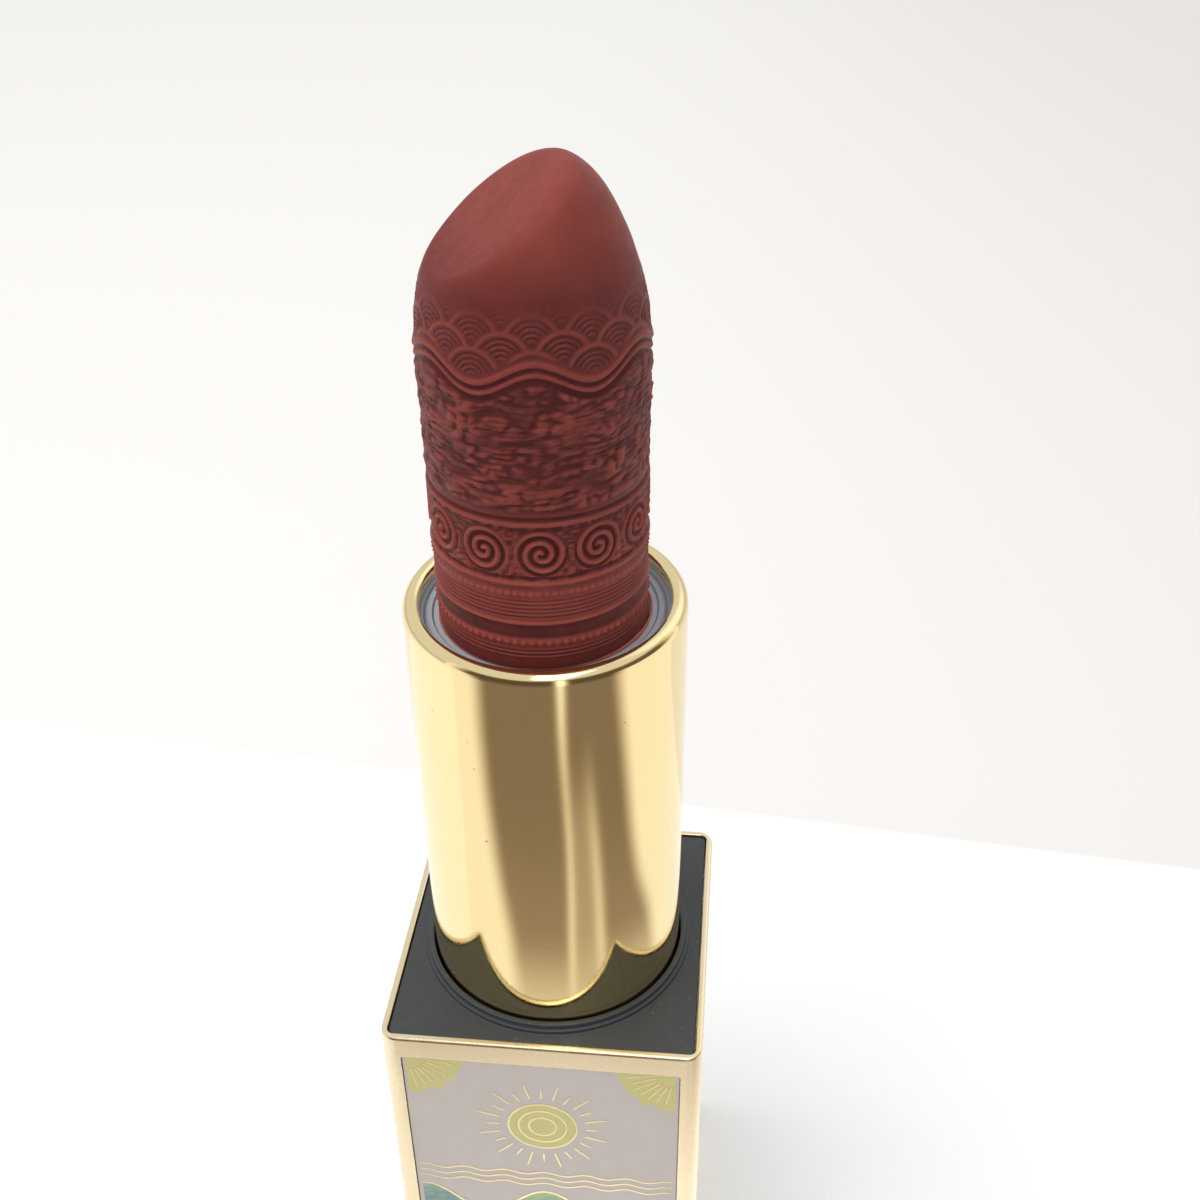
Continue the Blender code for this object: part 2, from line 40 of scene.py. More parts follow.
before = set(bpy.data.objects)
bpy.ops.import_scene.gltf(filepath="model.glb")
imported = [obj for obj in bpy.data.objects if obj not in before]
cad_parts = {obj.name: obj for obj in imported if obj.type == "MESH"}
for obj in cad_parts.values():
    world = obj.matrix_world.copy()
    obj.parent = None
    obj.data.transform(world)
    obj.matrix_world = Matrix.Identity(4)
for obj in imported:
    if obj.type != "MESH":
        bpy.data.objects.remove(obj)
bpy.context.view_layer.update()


def box_mm(node):
    """Lowest and highest corner of a CAD node, in millimetres."""
    low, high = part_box(node)
    return Vector(low) / MM, Vector(high) / MM


_, shell_high = box_mm("base_shell")
plate_low, plate_high = box_mm("shoulder_plate")
panel_low, panel_high = box_mm("panel_front")
sleeve_low, sleeve_high = box_mm("outer_sleeve")
_, cup_high = box_mm("bullet_cup")
bullet_low, _ = box_mm("bullet")

# Base shell and shoulder plate
SHELL_HALF = shell_high.x
SHELL_TOP = shell_high.z
SHELL_CORNER = 1.1
SHELL_INNER_HALF = 9.2
SHELL_EDGE = 0.2
FRAME_WALL = 0.45
FRAME_LIP_EDGE = 0.06
FRAME_CORNER = 0.4
PLATE_HALF = plate_high.x
PLATE_COLLAR_TOP = plate_high.z
PLATE_TOP = PLATE_COLLAR_TOP - 0.6
PLATE_LOW = plate_low.z
PLATE_EDGE = 0.05
COLLAR_RADIUS = 9.09
COLLAR_STEP_RADIUS = 8.86
COLLAR_STEP_HEIGHT = 0.3
COLLAR_EDGE = 0.07
BORE_GAP = 0.12

# Printed panels
PANEL_HALF_WIDTH = panel_high.x
PANEL_HALF_HEIGHT = (panel_high.z - panel_low.z) / 2
PANEL_CENTRE_Z = (panel_high.z + panel_low.z) / 2
PANEL_FACE_Y = panel_low.y
PANEL_BACK_Y = panel_high.y
PANEL_CORNER = 0.18
PANEL_EDGE = 0.06
PANEL_GAP = 0.025
RECESS_DEPTH = 0.7
PANEL_TURNS = {"front": 0.0, "right": pi / 2, "back": pi, "left": -pi / 2}

# Print: thin ink on the panels, with places as (x, z)
INK_SUNK = 0.02
PATCH_LIFT = 0.006
PATCH_STEP = 0.003
LINE_LIFT = 0.032
LINE_STEP = 0.0001
PRINT_EDGE = PANEL_HALF_WIDTH - 0.25
SUN = (0.0, 24.0)
SUN_RADIUS = 2.3
SUN_RAYS = 24
FANS = (((-PRINT_EDGE, 30.4), 270, 360), ((PRINT_EDGE, 30.4), 180, 270))
FAN_RADIUS = 3.8
FAN_LOBES = 4
# Waves as (middle, swing, phase): the hills' crest and foot, and the first of the ripples above them
HILLS = ((15.4, 1.3, 0.0), (12.0, 0.6, pi))
HILL_PITCH = 8.4
RIPPLE_TOP = 18.8
RIPPLE_STEP = 0.62
RIPPLE_SWING = 0.16
RIPPLE_PITCH = 2.8
PRINT_SCALE_PITCH = 3.0
PRINT_SCALE_LOW = 2.3
PRINT_SCALE_STEP = 1.55
PRINT_SCALE_RADII = (1.38, 0.98, 0.58)

# Gold sleeve
SLEEVE_RADIUS = sleeve_high.x
RIM_TOP = sleeve_high.z
SLEEVE_FOOT = sleeve_low.z
SLEEVE_WALL = 0.4
RIM_BORE = 7.38
RIM_DEPTH = 0.8
RIM_INNER_ROUNDING = 0.36
RIM_OUTER_ROUNDING = SLEEVE_RADIUS - RIM_BORE - RIM_INNER_ROUNDING

# Bullet: straight side, dome and one slanted cut, as in the CAD model
BULLET_RADIUS = 6.06
BULLET_FOOT_RADIUS = 5.6
BULLET_FOOT_TOP = 58.0
DOME_START = RIM_TOP + 14.6
DOME_HEIGHT = 11.1
DOME_SIDE_POWER = 3.2
DOME_TOP_POWER = 1.6
CUT_AXIS_HEIGHT = RIM_TOP + 24.1
CUT_TILT = radians(38)
CUT_FACING = radians(203)
CUT_BLEND = 0.94
BULLET_COLUMNS = 288
BULLET_ROW_STEP = 0.072
BULLET_DOME_ROWS = 118
SMEAR_RADIUS = 6.20
SMEAR_STEPS = 240
SMEAR_THICKEST = ((radians(318), 0.05), (radians(225), 0.035))
BULLET_LEAN_FOOT = 0.06
BULLET_FOOT_FORWARD = 0.36
BULLET_LEAN_RATE = 0.008
# Painted shade on the wax by height above the rim: how much darker its colour is made, most on the sides and
# least on the top
WAX_PAINTED_SHADE_HEIGHTS = (-1.0, 1.0, 5.5, 8.0, 16.0, 20.0, 22.5, 25.0)
WAX_PAINTED_SHADE = (0.50, 0.30, 0.34, 0.62, 0.68, 0.62, 0.18, 0.04)

# The bullet's carving: bands of plain ornament that repeat round it. Places in it are (u, v): u is the way
# round the side from the middle of the front, and v is the height above the sleeve's rim. The pattern's
# width is half the way round.
PATTERN_WIDTH = pi * BULLET_RADIUS
PATTERN_MIDDLE = radians(278.5)
LINE_PITCH = 0.27
SCALE_COUNT = 12
SCALE_RADIUS = PATTERN_WIDTH / SCALE_COUNT
SCALE_ROWS = 6
SCALE_LOW = 16.3
SCALE_FADE = (18.2, 20.2)
WAVE_COUNT = 6
WAVE_HEIGHT = 16.2
WAVE_SWING = 0.55
BORDER_CLEAR = 0.66
# Ridges and grooves as (place, width, height)
BORDER_LINES = (
    (0.70, 0.30, 0.03), (0.42, 0.17, 0.12), (0.12, 0.11, -0.09), (-0.14, 0.13, 0.09), (-0.46, 0.16, -0.15),
)
GROUND_LOW = 8.9
SCROLL_COUNT = 12
SCROLL_HEIGHT = 6.5
SCROLL_RADIUS = 1.42
SCROLL_PITCH = 0.56
SCROLL_BORDERS = (4.75, 8.25)
PETAL_CLUSTERS = 46
# Rows of beads as (height, spacing, relief)
BEAD_ROWS = ((4.12, 0.42, 0.15), (0.95, 0.47, 0.16))
FOOT_LINES = ((2.4, 2.5, 3.6, 3.8), (-0.2, 0.0, 0.45, 0.6))
FOOT_LINE_PITCH = 0.25

# Camera, in the row frame
CAMERA_PLACE = Vector((10.391, -69.420, 107.433))
CAMERA_AIM = Vector((1.896, 12.639, 50.917))
CAMERA_ROLL = radians(-0.701)
CAMERA_LENS = 43.52
CAMERA_SENSOR = 36.0

WORLD_STRENGTH = 0.78
KEY_PLACE = (-160, -60, 420)
KEY_AIM = (0, 0, 60)
KEY_SIZE = 260
KEY_POWER = 0.9
FLOOR_HALF = 3000.0

# The table meets the wall's pale tone along this line on the floor
WALL_DISTANCE = 48.5
WALL_TURN = radians(-5.58)

ROUND_SEGMENTS = 192
CORNER_STEPS = 10
SIDE_STEPS = 24


# ---------------------------------------------------------------- meshes


def make_object(name, vertices, faces, smooth=True, sharp_angle=radians(40)):
    """A mesh object from millimetre vertices."""
    mesh = bpy.data.meshes.new(name)
    mesh.from_pydata([tuple(float(c) * MM for c in v) for v in vertices], [], faces)
    mesh.update()
    if smooth:
        mesh.shade_smooth()
        mesh.set_sharp_from_angle(angle=sharp_angle)
    obj = bpy.data.objects.new(name, mesh)
    bpy.context.scene.collection.objects.link(obj)
    return obj


def fix_normals(obj):
    """Point the faces of a closed mesh outwards."""
    bm = bmesh.new()
    bm.from_mesh(obj.data)
    bmesh.ops.recalc_face_normals(bm, faces=bm.faces)
    bm.to_mesh(obj.data)
    bm.free()


def band(near, far, count):
    """Quads between two closed loops of points, given by their first vertices."""
    return [(near + i, near + (i + 1) % count, far + (i + 1) % count, far + i) for i in range(count)]


def caps(first, last, count):
    """Two faces that close the first and the last loop."""
    return [tuple(first + i for i in reversed(range(count))), tuple(last + i for i in range(count))]


def skin(name, loops, closed=False, cap=False):
    """Skin equal loops of points into one surface; closed joins the last loop to the first."""
    count = len(loops[0])
    last = (len(loops) - 1) * count
    vertices = [point for loop in loops for point in loop]
    faces = []
    for near in range(0, last, count):
        faces += band(near, near + count, count)
    if closed:
        faces += band(last, 0, count)
    if cap:
        faces += caps(0, last, count)
    obj = make_object(name, vertices, faces)
    fix_normals(obj)
    return obj


def ring(radius, height):
    """Points of one circle about the Z axis."""
    turns = [2 * pi * i / ROUND_SEGMENTS for i in range(ROUND_SEGMENTS)]
    return [(radius * cos(turn), radius * sin(turn), height) for turn in turns]


def square_ring(half, corner, height):
    """Points of one corner-rounded square, the same number for every size."""
    points = []
    for quarter in range(4):
        centre = half - corner
        for step in range(CORNER_STEPS + 1):
            angle = step / CORNER_STEPS * pi / 2
            x = centre + corner * cos(angle)
            y = centre + corner * sin(angle)
            points.append(turn_quarter(x, y, quarter) + (height,))
        for step in range(1, SIDE_STEPS):
            x = centre - 2 * centre * step / SIDE_STEPS
            points.append(turn_quarter(x, half, quarter) + (height,))
    return points


def turn_quarter(x, y, quarter):
    """A point turned by whole quarter turns about the Z axis."""
    for _ in range(quarter):
        x, y = -y, x
    return x, y


def round_ring(radius, height):
    """Points of a circle in the directions of a square ring's points."""
    points = []
    for x, y, _ in square_ring(PLATE_HALF, FRAME_CORNER, 0.0):
        angle = atan2(y, x)
        points.append((radius * cos(angle), radius * sin(angle), height))
    return points


def rounded(outer, inner_sign, top, radius, steps=6):
    """(offset, height) points over a rounded edge, from the side wall to the top face.

    outer is the wall's place, and inner_sign is -1 if the solid lies below it and +1 if above it.
    """
    points = []
    for step in range(steps + 1):
        angle = step / steps * pi / 2
        offset = outer + inner_sign * radius * (1 - cos(angle))
        points.append((offset, top - radius + radius * sin(angle)))
    return points


def weighted_normals(obj):
    """Keep large flat faces flat beside their rounded edges."""
    modifier = obj.modifiers.new("weighted_normals", "WEIGHTED_NORMAL")
    modifier.keep_sharp = True


def set_attribute(obj, name, values):
    """Give each of a mesh's points a number that its material can read."""
    attribute = obj.data.attributes.new(name, "FLOAT", "POINT")
    attribute.data.foreach_set("value", np.array(values, np.float32))


def set_material(obj, material):
    """Give an object one material."""
    obj.data.materials.clear()
    obj.data.materials.append(material)


def add_piece(obj, body, slot, material, *nodes):
    """Finish a new piece: its material, its body and the CAD nodes it stands for; its slot is not used."""
    set_material(obj, material)
    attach(obj, body)
    if nodes:
        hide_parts(*nodes)


# ---------------------------------------------------------------- materials


class Shader:
    """One procedural material with a Principled shader; place is the point on the object, in metres."""

    def __init__(self, name, **settings):
        self.material = bpy.data.materials.new(name)
        self.material.use_nodes = True
        self.nodes = self.material.node_tree.nodes
        self.links = self.material.node_tree.links
        self.bsdf = self.nodes["Principled BSDF"]
        self.place = self.node("TexCoord", output="Object")
        self.paint(**settings)

    def paint(self, **settings):
        """Set or link sockets of the Principled shader."""
        for key, value in settings.items():
            self.set(self.bsdf, key, value)

    def finish(self, colour, rough_noise, rough_range, grain, depth):
        """Add a colour, a drifting roughness and a fine grain; a noise is given by its settings."""
        rough = self.drift(rough_noise, *rough_range)
        normal = self.bump(self.noise(self.place, *grain), depth)
        self.paint(base_color=colour, roughness=rough, normal=normal)
        return self.material

    def drift(self, noise, low, high):
        """A value that wanders between two others over the object."""
        return self.remap(self.noise(self.place, *noise), 0.3, 0.7, low, high)

    def set(self, node, key, value):
        """Set a node's property, or the input socket with that name; a socket value is linked."""
        if hasattr(node, key):
            setattr(node, key, value)
            return
        socket = next(s for s in node.inputs if s.name.lower() == key.replace("_", " "))
        if isinstance(value, bpy.types.NodeSocket):
            self.links.new(value, socket)
        elif socket.type == "RGBA":
            socket.default_value = (*value, 1.0)
        else:
            socket.default_value = value

    def node(self, kind, output=0, inputs=(), **settings):
        """Add a node and return one of its outputs. inputs are (index, value or socket) pairs."""
        node = self.nodes.new("ShaderNode" + kind)
        for key, value in settings.items():
            self.set(node, key, value)
        for index, value in inputs:
            if isinstance(value, bpy.types.NodeSocket):
                self.links.new(value, node.inputs[index])
            else:
                node.inputs[index].default_value = value
        return node.outputs[output]

    def math(self, operation, a, b=0.0, c=0.0):
        return self.node("Math", operation=operation, inputs=((0, a), (1, b), (2, c)))

    def noise(self, vector, scale, detail=3.0, roughness=0.55):
        return self.node(
            "TexNoise", output="Fac", vector=vector, scale=scale, detail=detail, roughness=roughness
        )

    def stretch(self, vector, scale):
        """Scale a vector along its axes, so that noise comes out long in one direction."""
        return self.node("Mapping", vector=vector, scale=scale)

    def remap(self, value, low, high, to_low, to_high):
        """Map a range onto another, clamped and smooth at its ends."""
        return self.node(
            "MapRange",
            interpolation_type="SMOOTHSTEP",
            inputs=((0, value), (1, low), (2, high), (3, to_low), (4, to_high)),
        )

    def mix(self, factor, a, b):
        """Blend two colours."""
        node = self.nodes.new("ShaderNodeMix")
        node.data_type = "RGBA"
        for index, value in ((0, factor), (6, a), (7, b)):
            if isinstance(value, bpy.types.NodeSocket):
                self.links.new(value, node.inputs[index])
            elif index == 0:
                node.inputs[index].default_value = value
            else:
                node.inputs[index].default_value = (*value, 1.0)
        return node.outputs[2]

    def attribute(self, name):
        return self.node("Attribute", output="Fac", attribute_name=name)

    def bump(self, height, distance, normal=None):
        node = self.nodes.new("ShaderNodeBump")
        node.inputs["Strength"].default_value = 1.0
        node.inputs["Distance"].default_value = distance * MM
        self.links.new(height, node.inputs["Height"])
        if normal is not None:
            self.links.new(normal, node.inputs["Normal"])
        return node.outputs["Normal"]

    def edges(self, radius):
        """From 0 on flat faces to 1 on convex edges: how far a rounded normal turns away."""
        bevel = self.node("Bevel", samples=6, radius=radius * MM)
        plain = self.node("NewGeometry", output="Normal")
        inputs = ((0, bevel), (1, plain))
        turned = self.node("VectorMath", output="Value", operation="DOT_PRODUCT", inputs=inputs)
        return self.remap(turned, 0.999, 0.93, 0.0, 1.0)


def mirror_gold():
    """Bright anodised gold: a near mirror with faint polishing lines and a few dust specks."""
    shader = Shader("mirror_gold", metallic=1.0)
    place = shader.place
    colour = shader.mix(shader.noise(place, 90.0, 2.0), (0.95, 0.795, 0.435), (0.93, 0.755, 0.40))
    dust = shader.remap(shader.noise(place, 2600.0, 2.0, 0.5), 0.745, 0.775, 0.0, 1.0)
    colour = shader.mix(dust, colour, (0.55, 0.45, 0.28))
    haze = shader.noise(shader.stretch(place, (1.0, 1.0, 6.0)), 700.0, 3.0)
    rough = shader.remap(haze, 0.35, 0.75, 0.05, 0.10)
    rough = shader.math("MAXIMUM", rough, shader.math("MULTIPLY", dust, 0.5))
    lines = shader.noise(shader.stretch(place, (1.0, 1.0, 40.0)), 900.0, 2.0)
    shader.paint(base_color=colour, roughness=rough, normal=shader.bump(lines, 0.0006))
    return shader.material


def satin_gold():
    """Satin anodised gold with a fine blasted grain, smoother and paler where its edges are worn."""
    shader = Shader("satin_gold", metallic=1.0)
    place = shader.place
    patches = shader.remap(shader.noise(place, 420.0, 4.0, 0.6), 0.44, 0.60, 0.0, 1.0)
    wear = shader.math("MULTIPLY", shader.edges(0.12), patches)
    colour = shader.mix(shader.noise(place, 160.0, 3.0), (0.95, 0.82, 0.57), (0.92, 0.78, 0.53))
    colour = shader.mix(wear, colour, (0.98, 0.91, 0.75))
    smoother = shader.math("MULTIPLY", wear, -0.14)
    rough = shader.math("ADD", shader.drift((2200.0, 2.0), 0.26, 0.34), smoother)
    grain = shader.noise(place, 9000.0, 2.0)
    shader.paint(base_color=colour, roughness=rough, normal=shader.bump(grain, 0.0012))
    return shader.material


def matt_black(name, colour, roughness):
    """Fine matt moulded plastic with a soft grain and a few pale dust specks."""
    shader = Shader(name)
    base = shader.mix(shader.noise(shader.place, 260.0, 3.0), colour, tuple(c * 0.8 for c in colour))
    dust = shader.remap(shader.noise(shader.place, 3600.0, 2.0), 0.74, 0.78, 0.0, 1.0)
    base = shader.mix(dust, base, (0.32, 0.32, 0.31))
    return shader.finish(base, (1500.0, 3.0), (roughness - 0.05, roughness + 0.06), (7000.0, 2.0), 0.002)


def moulded(name, colour, roughness, metallic=0.0, glow=0.0):
    """Plain moulded or plated finish with slight mottling and grain; a glow is painted light that brightens
    shaded gaps.
    """
    shader = Shader(name, metallic=metallic, emission_color=(0.9, 0.93, 1.0), emission_strength=glow)
    base = shader.mix(shader.noise(shader.place, 300.0, 3.0), colour, tuple(c * 0.86 for c in colour))
    return shader.finish(base, (1200.0,), (roughness - 0.06, roughness + 0.06), (4000.0, 2.0), 0.002)


def printed_panel():
    """Lilac grey print with a faint paper-like mottle under a satin varnish."""
    shader = Shader("printed_panel")
    mottle = shader.noise(shader.place, 700.0, 4.0, 0.6)
    base = shader.mix(mottle, (0.50, 0.445, 0.40), (0.56, 0.50, 0.45))
    return shader.finish(base, (2400.0, 2.0), (0.36, 0.48), (5200.0, 2.0), 0.0015)


def print_gold():
    """Hot-foiled gold lines: bright, slightly uneven and a little rough."""
    shader = Shader("print_gold", metallic=1.0)
    base = shader.mix(shader.noise(shader.place, 900.0, 3.0), (0.99, 0.86, 0.58), (0.95, 0.79, 0.50))
    return shader.finish(base, (3000.0, 2.0), (0.34, 0.46), (6000.0, 2.0), 0.0015)


def print_colours():
    """Soft inks that run from yellow-green through green to teal, and to ochre, down the panel."""
    shader = Shader("print_colours")
    place = shader.place
    drift = shader.math("MULTIPLY", shader.math("SUBTRACT", shader.noise(place, 260.0, 3.0), 0.5), 0.004)
    height = shader.math("ADD", shader.node("SeparateXYZ", output=2, inputs=((0, place),)), drift)
    base = (0.56, 0.52, 0.18)
    for top, bottom, colour in (
        (0.0195, 0.0172, (0.36, 0.48, 0.24)), (0.0175, 0.0150, (0.13, 0.27, 0.27)),
        (0.0145, 0.0118, (0.52, 0.44, 0.22)),
    ):
        base = shader.mix(shader.remap(height, top, bottom, 0.0, 1.0), base, colour)
    streaks = shader.noise(shader.stretch(place, (1.0, 1.0, 5.0)), 1100.0, 3.0)
    base = shader.mix(shader.remap(streaks, 0.35, 0.7, 0.0, 0.3), base, (0.62, 0.56, 0.34))
    return shader.finish(base, (2400.0, 2.0), (0.34, 0.46), (5200.0, 2.0), 0.0015)


def smeared_wax():
    """Fresh wax squeezed to a thin bead: brighter and glossier than the bullet's side."""
    shader = Shader("wax_smear", sheen_weight=0.05, sheen_tint=(1.0, 0.55, 0.50))
    base = shader.mix(shader.noise(shader.place, 900.0, 3.0), (0.56, 0.125, 0.08), (0.40, 0.075, 0.05))
    return shader.finish(base, (2000.0,), (0.34, 0.5), (3000.0,), 0.01)


def lipstick_wax():
    """Matt brick-red wax with painted shade, dark in the relief's recesses, and a painted highlight, more
    orange on its ridges.
    """
    shader = Shader("lipstick_wax", sheen_weight=0.10, sheen_roughness=0.4, sheen_tint=(1.0, 0.55, 0.50))
    place = shader.place
    height = shader.attribute("relief")
    # Painted shade and highlight: a low 'relief' value gives the dark colour, a high one the paler orange
    low = shader.remap(height, -1.0, 0.0, 0.0, 1.0)
    base = shader.mix(low, (0.072, 0.0065, 0.006), (0.235, 0.038, 0.027))
    base = shader.mix(shader.remap(height, 0.1, 1.0, 0.0, 1.0), base, (0.31, 0.062, 0.042))
    mottle = shader.noise(place, 500.0, 4.0, 0.6)
    base = shader.mix(shader.remap(mottle, 0.35, 0.7, 0.0, 0.35), base, (0.15, 0.020, 0.016))
    turns = shader.math("MULTIPLY", shader.attribute("phase"), 2 * pi)
    waves = shader.math("MULTIPLY", shader.math("COSINE", turns), shader.attribute("lines"))
    normal = shader.bump(waves, 0.022)
    streaks = shader.noise(shader.stretch(place, (1.0, 1.0, 4.5)), 2400.0, 4.0, 0.62)
    streaks = shader.math("MULTIPLY", streaks, shader.attribute("rough"))
    normal = shader.bump(streaks, 0.065, normal)
    normal = shader.bump(shader.noise(place, 7000.0, 3.0), 0.003, normal)
    rough = shader.drift((1800.0, 3.0), 0.50, 0.62)
    shader.paint(specular_ior_level=0.24, base_color=base, roughness=rough, normal=normal)
    return shader.material


# ---------------------------------------------------------------- base


def build_shell(material):
    """Square gold casing with rounded edges, and a recess for a panel in each side."""
    seat_half = SHELL_HALF - FRAME_WALL
    seat_height = PLATE_LOW - 0.3
    loops = []
    for offset, height in rounded(SHELL_HALF, -1, SHELL_TOP, SHELL_EDGE):
        loops.append(square_ring(offset, SHELL_CORNER - (SHELL_HALF - offset), height))
    for offset, height in reversed(rounded(seat_half, 1, SHELL_TOP, FRAME_LIP_EDGE, 3)):
        loops.append(square_ring(offset, FRAME_CORNER + (offset - seat_half), height))
    loops.append(square_ring(seat_half, FRAME_CORNER, seat_height))
    loops.append(square_ring(SHELL_INNER_HALF, 0.5, seat_height))
    loops.append(square_ring(SHELL_INNER_HALF, 0.5, 0.0))
    for offset, height in reversed(rounded(SHELL_HALF, -1, SHELL_EDGE, SHELL_EDGE)):
        loops.append(square_ring(offset, SHELL_CORNER - (SHELL_HALF - offset), SHELL_EDGE - height))
    shell = skin("base_shell_gold", loops, closed=True)
    cutter = recess_cutters()
    boolean = shell.modifiers.new("recesses", "BOOLEAN")
    boolean.operation = "DIFFERENCE"
    boolean.solver = "EXACT"
    boolean.object = cutter
    bake_modifiers(shell)
    bpy.data.objects.remove(cutter)
    shell.data.shade_smooth()
    shell.data.set_sharp_from_angle(angle=radians(30))
    weighted_normals(shell)
    add_piece(shell, "base", "satin_gold", material, "base_shell")


def bake_modifiers(obj):
    """Swap an object's mesh for the one that its modifiers give."""
    depsgraph = bpy.context.evaluated_depsgraph_get()
    mesh = bpy.data.meshes.new_from_object(obj.evaluated_get(depsgraph))
    obj.modifiers.clear()
    obj.data = mesh


def panel_outline(half_width, half_height, corner):
    """Corner-rounded rectangle in a panel's plane, as (x, z) points."""
    points = []
    for index, (sign_x, sign_z) in enumerate(((1, 1), (-1, 1), (-1, -1), (1, -1))):
        for step in range(CORNER_STEPS + 1):
            angle = (index + step / CORNER_STEPS) * pi / 2
            x = sign_x * (half_width - corner) + corner * cos(angle)
            z = sign_z * (half_height - corner) + corner * sin(angle)
            points.append((x, PANEL_CENTRE_Z + z))
    return points


def turned_about_z(points, angle):
    """Points turned about the Z axis."""
    c, s = cos(angle), sin(angle)
    return [(c * x - s * y, s * x + c * y, z) for x, y, z in points]


def recess_cutters():
    """One object that holds the four blocks which cut the panels' recesses."""
    vertices, faces = [], []
    outline = panel_outline(
        PANEL_HALF_WIDTH + PANEL_GAP, PANEL_HALF_HEIGHT + PANEL_GAP, PANEL_CORNER + PANEL_GAP
    )
    count = len(outline)
    for angle in PANEL_TURNS.values():
        first = len(vertices)
        for y in (-SHELL_HALF - 1.0, -SHELL_HALF + RECESS_DEPTH):
            vertices += turned_about_z([(x, y, z) for x, z in outline], angle)
        faces += band(first, first + count, count) + caps(first, first + count, count)
    cutter = make_object("recess_cutters", vertices, faces, smooth=False)
    fix_normals(cutter)
    return cutter


def build_plate(material):
    """Matt black shoulder with a low stepped collar, its small edges rounded."""
    bore = SLEEVE_RADIUS + BORE_GAP
    step_top = PLATE_TOP + COLLAR_STEP_HEIGHT
    loops = [square_ring(PLATE_HALF, FRAME_CORNER, PLATE_LOW)]
    for offset, height in rounded(PLATE_HALF, -1, PLATE_TOP, PLATE_EDGE, 3):
        loops.append(square_ring(offset, FRAME_CORNER - (PLATE_HALF - offset), height))
    loops.append(round_ring(COLLAR_RADIUS + 0.25, PLATE_TOP))
    for step in range(4):
        angle = step / 3 * pi / 2
        radius = COLLAR_RADIUS + COLLAR_EDGE * (1 - sin(angle))
        loops.append(round_ring(radius, PLATE_TOP + COLLAR_EDGE * (1 - cos(angle))))
    for offset, height in rounded(COLLAR_RADIUS, -1, step_top, COLLAR_EDGE, 4):
        loops.append(round_ring(offset, height))
    loops.append(round_ring(COLLAR_STEP_RADIUS, step_top))
    for offset, height in rounded(COLLAR_STEP_RADIUS, -1, PLATE_COLLAR_TOP, COLLAR_EDGE, 4):
        loops.append(round_ring(offset, height))
    for offset, height in reversed(rounded(bore, 1, PLATE_COLLAR_TOP, COLLAR_EDGE, 4)):
        loops.append(round_ring(offset, height))
    loops.append(round_ring(bore, PLATE_LOW))
    plate = skin("shoulder_plate_black", loops, closed=True)
    plate.data.set_sharp_from_angle(angle=radians(50))
    weighted_normals(plate)
    add_piece(plate, "base", "black_plastic", material, "shoulder_plate")


def build_panel(side, material):
    """One printed panel with a small chamfer round its face."""
    layers = [(0.0, PANEL_BACK_Y), (0.0, PANEL_FACE_Y + PANEL_EDGE), (PANEL_EDGE, PANEL_FACE_Y)]
    loops = []
    for inset, y in layers:
        outline = panel_outline(PANEL_HALF_WIDTH - inset, PANEL_HALF_HEIGHT - inset, PANEL_CORNER - inset)
        loops.append(turned_about_z([(x, y, z) for x, z in outline], PANEL_TURNS[side]))
    panel = skin("panel_" + side + "_print", loops, cap=True)
    panel.data.set_sharp_from_angle(angle=radians(30))
    add_piece(panel, "base", "printed_panel", material, "panel_" + side)


# ---------------------------------------------------------------- printed art


class Print:
    """Thin raised ink in a panel's plane: closed strips and patches gathered into one mesh."""

    def __init__(self, lift):
        self.lift = lift
        self.vertices = []
        self.faces = []

    def add_sides(self, outline):
        """The rim of one thin solid, from just under the panel's face to just above it."""
        first, count = len(self.vertices), len(outline)
        for y in (PANEL_FACE_Y + INK_SUNK, PANEL_FACE_Y - self.lift):
            self.vertices += [(x, y, z) for x, z in outline]
        self.faces += band(first, first + count, count)
        return first, count

    def patch(self, outline):
        """A flat patch inside an outline of (x, z) points."""
        first, count = self.add_sides(outline)
        self.faces += caps(first, first + count, count)
        self.lift += PATCH_STEP

    def strip(self, points, width, taper=1.0, steps=6):
        """A line of ink along a smooth path; a taper under 1 thins it towards its end."""
        path = np.array(smooth_path(points, steps))
        path = path[np.concatenate([[True], np.linalg.norm(np.diff(path, axis=0), axis=1) > 1e-4])]
        along = np.gradient(path, axis=0)
        along /= np.linalg.norm(along, axis=1, keepdims=True)
        share = np.linspace(0.0, 1.0, len(path))
        half = width / 2 * (1 - (1 - taper) * share) * np.clip(4 * np.minimum(share, 1 - share) + 0.45, 0, 1)
        across = np.stack([-along[:, 1], along[:, 0]], axis=1) * half[:, None]
        left, right = path + across, path - across
        outline = [tuple(p) for p in left] + [tuple(p) for p in reversed(right)]
        first, count = self.add_sides(outline)
        for i in range(len(path) - 1):
            near, far = count - 1 - i, count - 2 - i
            self.faces.append((first + near, first + far, first + i + 1, first + i))
            top = first + count
            self.faces.append((top + i, top + i + 1, top + far, top + near))
        self.lift += LINE_STEP

    def arc(self, centre, radius, start, end, width):
        """A line of ink along part of a circle; the angles are in degrees."""
        angles = (radians(start + (end - start) * step / 8) for step in range(9))
        self.strip([polar(centre, radius, angle) for angle in angles], width, steps=3)

    def build(self, name, side, material):
        vertices = turned_about_z(self.vertices, PANEL_TURNS[side])
        ink = make_object(name, vertices, self.faces, sharp_angle=radians(30))
        fix_normals(ink)
        add_piece(ink, "base", "printed_panel", material)


def polar(centre, radius, angle):
    """The point that lies a distance from a centre in one direction."""
    return centre[0] + radius * cos(angle), centre[1] + radius * sin(angle)


def wavy(middle, swing, shift=0.0, pitch=HILL_PITCH):
    """Points along a plain wave across the panel."""
    reach = PRINT_EDGE - 0.1
    return [(x, middle + swing * cos(2 * pi * x / pitch + shift)) for x in np.linspace(-reach, reach, 33)]


def circle(centre, radius, count=48):
    """Points round a circle."""
    return [polar(centre, radius, 2 * pi * k / count) for k in range(count)]


